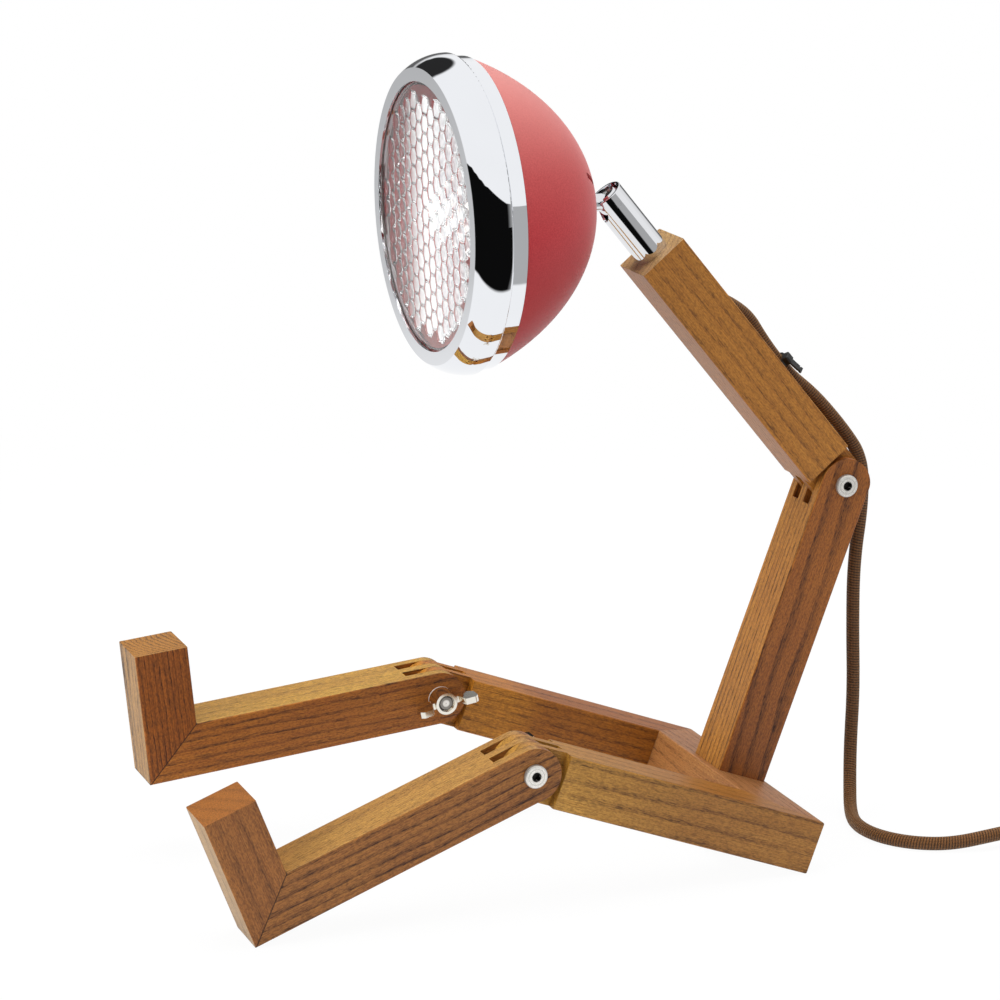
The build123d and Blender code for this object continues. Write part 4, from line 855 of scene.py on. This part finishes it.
def lens_piece():
    """Clear disc: crowned in front, pillows behind."""
    shape = bmesh.new()
    cell = shape.verts.layers.float.new("cell")
    steps = [(k, (k + 1) % LENS_SIDES) for k in range(LENS_SIDES)]

    def rings(height_of, rows):
        made = [[shape.verts.new((0, 0, height_of(0, 0)))]]
        for i in range(1, rows + 1):
            radius = LENS_RADIUS * i / rows
            ring = []
            for k in range(LENS_SIDES):
                angle = 2 * math.pi * k / LENS_SIDES
                x, y = radius * math.cos(angle), radius * math.sin(angle)
                ring.append(shape.verts.new((x, y, height_of(x, y))))
            made.append(ring)
        return made

    def skin(grid, flip):
        faces = [[grid[0][0], grid[1][k], grid[1][n]] for k, n in steps]
        for near, far in zip(grid[1:], grid[2:]):
            faces += [[near[k], far[k], far[n], near[n]] for k, n in steps]
        for face in faces:
            shape.faces.new(face if flip else face[::-1])

    front, back = rings(lens_front, FRONT_ROWS), rings(lens_back, BACK_ROWS)
    for ring in back:
        for vert in ring:
            vert[cell] = cell_share(vert.co.x, vert.co.y)
    skin(front, False)
    skin(back, True)
    for k, n in steps:
        shape.faces.new((front[-1][k], front[-1][n], back[-1][n], back[-1][k]))
    bmesh.ops.recalc_face_normals(shape, faces=shape.faces)
    for face in shape.faces:
        face.smooth = True
    mesh = bpy.data.meshes.new("lens_glass")
    shape.to_mesh(mesh)
    shape.free()
    mesh.transform(RIM @ Matrix.Scale(MM, 4))
    return add_object("lens_glass", mesh)


LENS_LEFT, LENS_SPAN = -60.0, 120.0
# how much painted white reflection the pillows' crowns carry, from the lens's left to its right
CROWN_REFLECTION_STOPS = [(0.10, 0.0), (0.27, 0.08), (0.40, 0.60), (0.52, 0.95), (0.70, 0.80), (0.95, 0.50)]


def lens_look():
    """Clear glass that lets the lamps' light through; the pillows' crowns carry a painted white
    reflection, with painted grey streaks towards the right.
    """
    t = Tree("lens_clear")
    wide = t.noise(t.coordinate("Object"), 60, 2.0)
    t.shade(
        Base_Color=(0.985, 0.99, 0.99, 1.0),
        Roughness=t.times(wide, 0.03),
        IOR=1.49,
        Transmission_Weight=1.0,
    )
    # painted reflection: a white diffuse layer on the pillows' crowns, brightest in the middle,
    # greyer and streaked towards the right
    at = t.local(RIM)
    across = t.math("DIVIDE", t.plus(t.split(at)[0], -LENS_LEFT), LENS_SPAN)
    streaks = t.ramp(t.noise(at, (0.9, 0.35, 0.9), 3.0, 0.7), [(0.42, 0.0), (0.62, 1.0)])
    grey = t.times(t.ramp(across, [(0.50, 0.0), (0.75, 1.0)]), streaks)
    tint = t.mix(grey, (0.95, 0.95, 0.95, 1.0), (0.50, 0.50, 0.53, 1.0))
    painted_reflection_bsdf = t.add("ShaderNodeBsdfDiffuse", {"Color": tint, "Roughness": 0.5})
    cell = t.add("ShaderNodeAttribute", attribute_name="cell").outputs["Fac"]
    crown = t.ramp(cell, [(0.11, 0.0), (0.28, 1.0)])
    white = t.times(t.ramp(across, CROWN_REFLECTION_STOPS), crown)
    glass = t.shader_mix(white, t.shader.outputs[0], painted_reflection_bsdf.outputs[0])
    clear = t.add("ShaderNodeBsdfTransparent", {"Color": (0.92, 0.93, 0.93, 1.0)})
    return t.show(t.shader_mix(t.sees("Shadow", "Diffuse"), glass, clear.outputs[0]))


lens_glass = lens_piece()
lens_glass.data.materials.append(lens_look())
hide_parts("lens")
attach(lens_glass, "head")


# ---- Stage: white all round, with a black side for mirrors where the camera stands ----
class Sky(Tree):
    """The same calls for the world's nodes."""

    def __init__(self, world):
        world.use_nodes = True
        self.nodes = world.node_tree.nodes
        self.links = world.node_tree.links


world = bpy.data.worlds.new("studio")
scene.world = world
sky = Sky(world)
light_sky = sky.nodes["Background"]
sky.put(light_sky, 0, (0.95, 0.97, 1.0, 1.0))
sky.put(light_sky, 1, 0.32)
way = sky.coordinate("Generated")
way_x, way_y, way_z = sky.split(way)
# towards the camera: black below a sloping line, and grey to the side
lift = sky.ramp(sky.plus(way_z, sky.times(way_y, 0.25)), [(0.305, 0.0), (0.315, 1.0)])
near_side = sky.math("MAXIMUM", lift, sky.ramp(way_y, [(0.20, 0.0), (0.30, 0.46)]))
# away from the camera: dark along the floor, and a round dark spot above it
skyline = sky.ramp(way_z, [(0.0, 0.14), (0.17, 0.12), (0.26, 0.9), (0.40, 1.0)])
spot = sky.measure("DOT_PRODUCT", way, (-0.86, -0.06, 0.50))
far_side = sky.times(skyline, sky.ramp(spot, [(0.950, 1.0), (0.962, 0.02)]))
away_share = sky.ramp(way_x, [(0.02, 1.0), (0.10, 0.0)])
mirrored = sky.mix(sky.mix(away_share, near_side, far_side), BLACK, WHITE)
plain = sky.add("ShaderNodeBackground", {0: WHITE, 1: 1.0}).outputs[0]
studio = sky.add("ShaderNodeBackground", {0: mirrored, 1: 1.0}).outputs[0]
seen = sky.shader_mix(sky.sees("Glossy"), plain, studio)
seen_at_all = sky.sees("Camera", "Glossy", "Transmission")
whole_sky = sky.shader_mix(seen_at_all, light_sky.outputs[0], seen)
sky.put(sky.nodes["World Output"], 0, whole_sky)

FLOOR_HALF = 15.0
FLOOR_DROP = 0.0002


def floor_look():
    """White where it is seen or mirrored, but black for mirrors towards the camera."""
    t = Tree("floor_white")
    t.shade(Base_Color=(0.86, 0.86, 0.86, 1.0), Roughness=0.9, Specular_IOR_Level=0.0)
    place = t.add("ShaderNodeNewGeometry").outputs["Position"]
    x, y, _ = t.split(place)
    dark = t.ramp(x, [(0.325, 0.0), (0.345, 1.0)])
    sideways = t.plus(t.math("SUBTRACT", y, t.times(x, 0.33)), 0.5)
    sideways = t.ramp(sideways, [(0.45, 0.0), (0.50, 0.46)])
    far = t.ramp(t.times(x, -0.25), [(0.20, 0.0), (0.32, 0.38), (0.75, 0.55)])
    mirrored = t.mix(dark, t.mix(far, WHITE, BLACK), t.mix(sideways, BLACK, WHITE))
    tint = t.mix(t.sees("Glossy"), WHITE, mirrored)
    shine = t.add("ShaderNodeEmission", {"Color": tint, "Strength": 1.0})
    # the shadow shows faintly near the lamp
    bare = t.ramp(t.times(t.measure("LENGTH", place), 0.5), [(0.25, 0.96), (0.45, 1.0)])
    seen = t.times(t.sees("Camera"), bare)
    share = t.math("MAXIMUM", seen, t.sees("Glossy", "Transmission"))
    return t.show(t.shader_mix(share, t.shader.outputs[0], shine.outputs[0]))


corners = [(-1, -1), (1, -1), (1, 1), (-1, 1)]
floor_mesh = bpy.data.meshes.new("floor")
floor_mesh.from_pydata(
    [(x * FLOOR_HALF, y * FLOOR_HALF, -FLOOR_DROP) for x, y in corners], [], [(0, 1, 2, 3)]
)
floor_mesh.materials.append(floor_look())
add_object("floor", floor_mesh)


def lamp(name, place, aim, size, power):
    """Soft rectangular lamp that mirrors don't show."""
    data = bpy.data.lights.new(name, "AREA")
    data.shape = "RECTANGLE"
    data.size, data.size_y = size
    data.energy = power
    made = add_object(name, data)
    made.location = place
    made.rotation_euler = (Vector(aim) - Vector(place)).to_track_quat("-Z", "Y").to_euler()
    made.visible_glossy = False


lamp("top_box", (-0.1, 0.1, 1.7), (0, 0, 0.1), (1.6, 1.6), 40.0)
lamp("left_box", (0.3, -1.9, 0.9), (0, 0, 0.15), (1.4, 1.2), 30.0)
lamp("right_fill", (1.4, 0.9, 0.8), (0, 0, 0.15), (1.0, 1.0), 2.0)
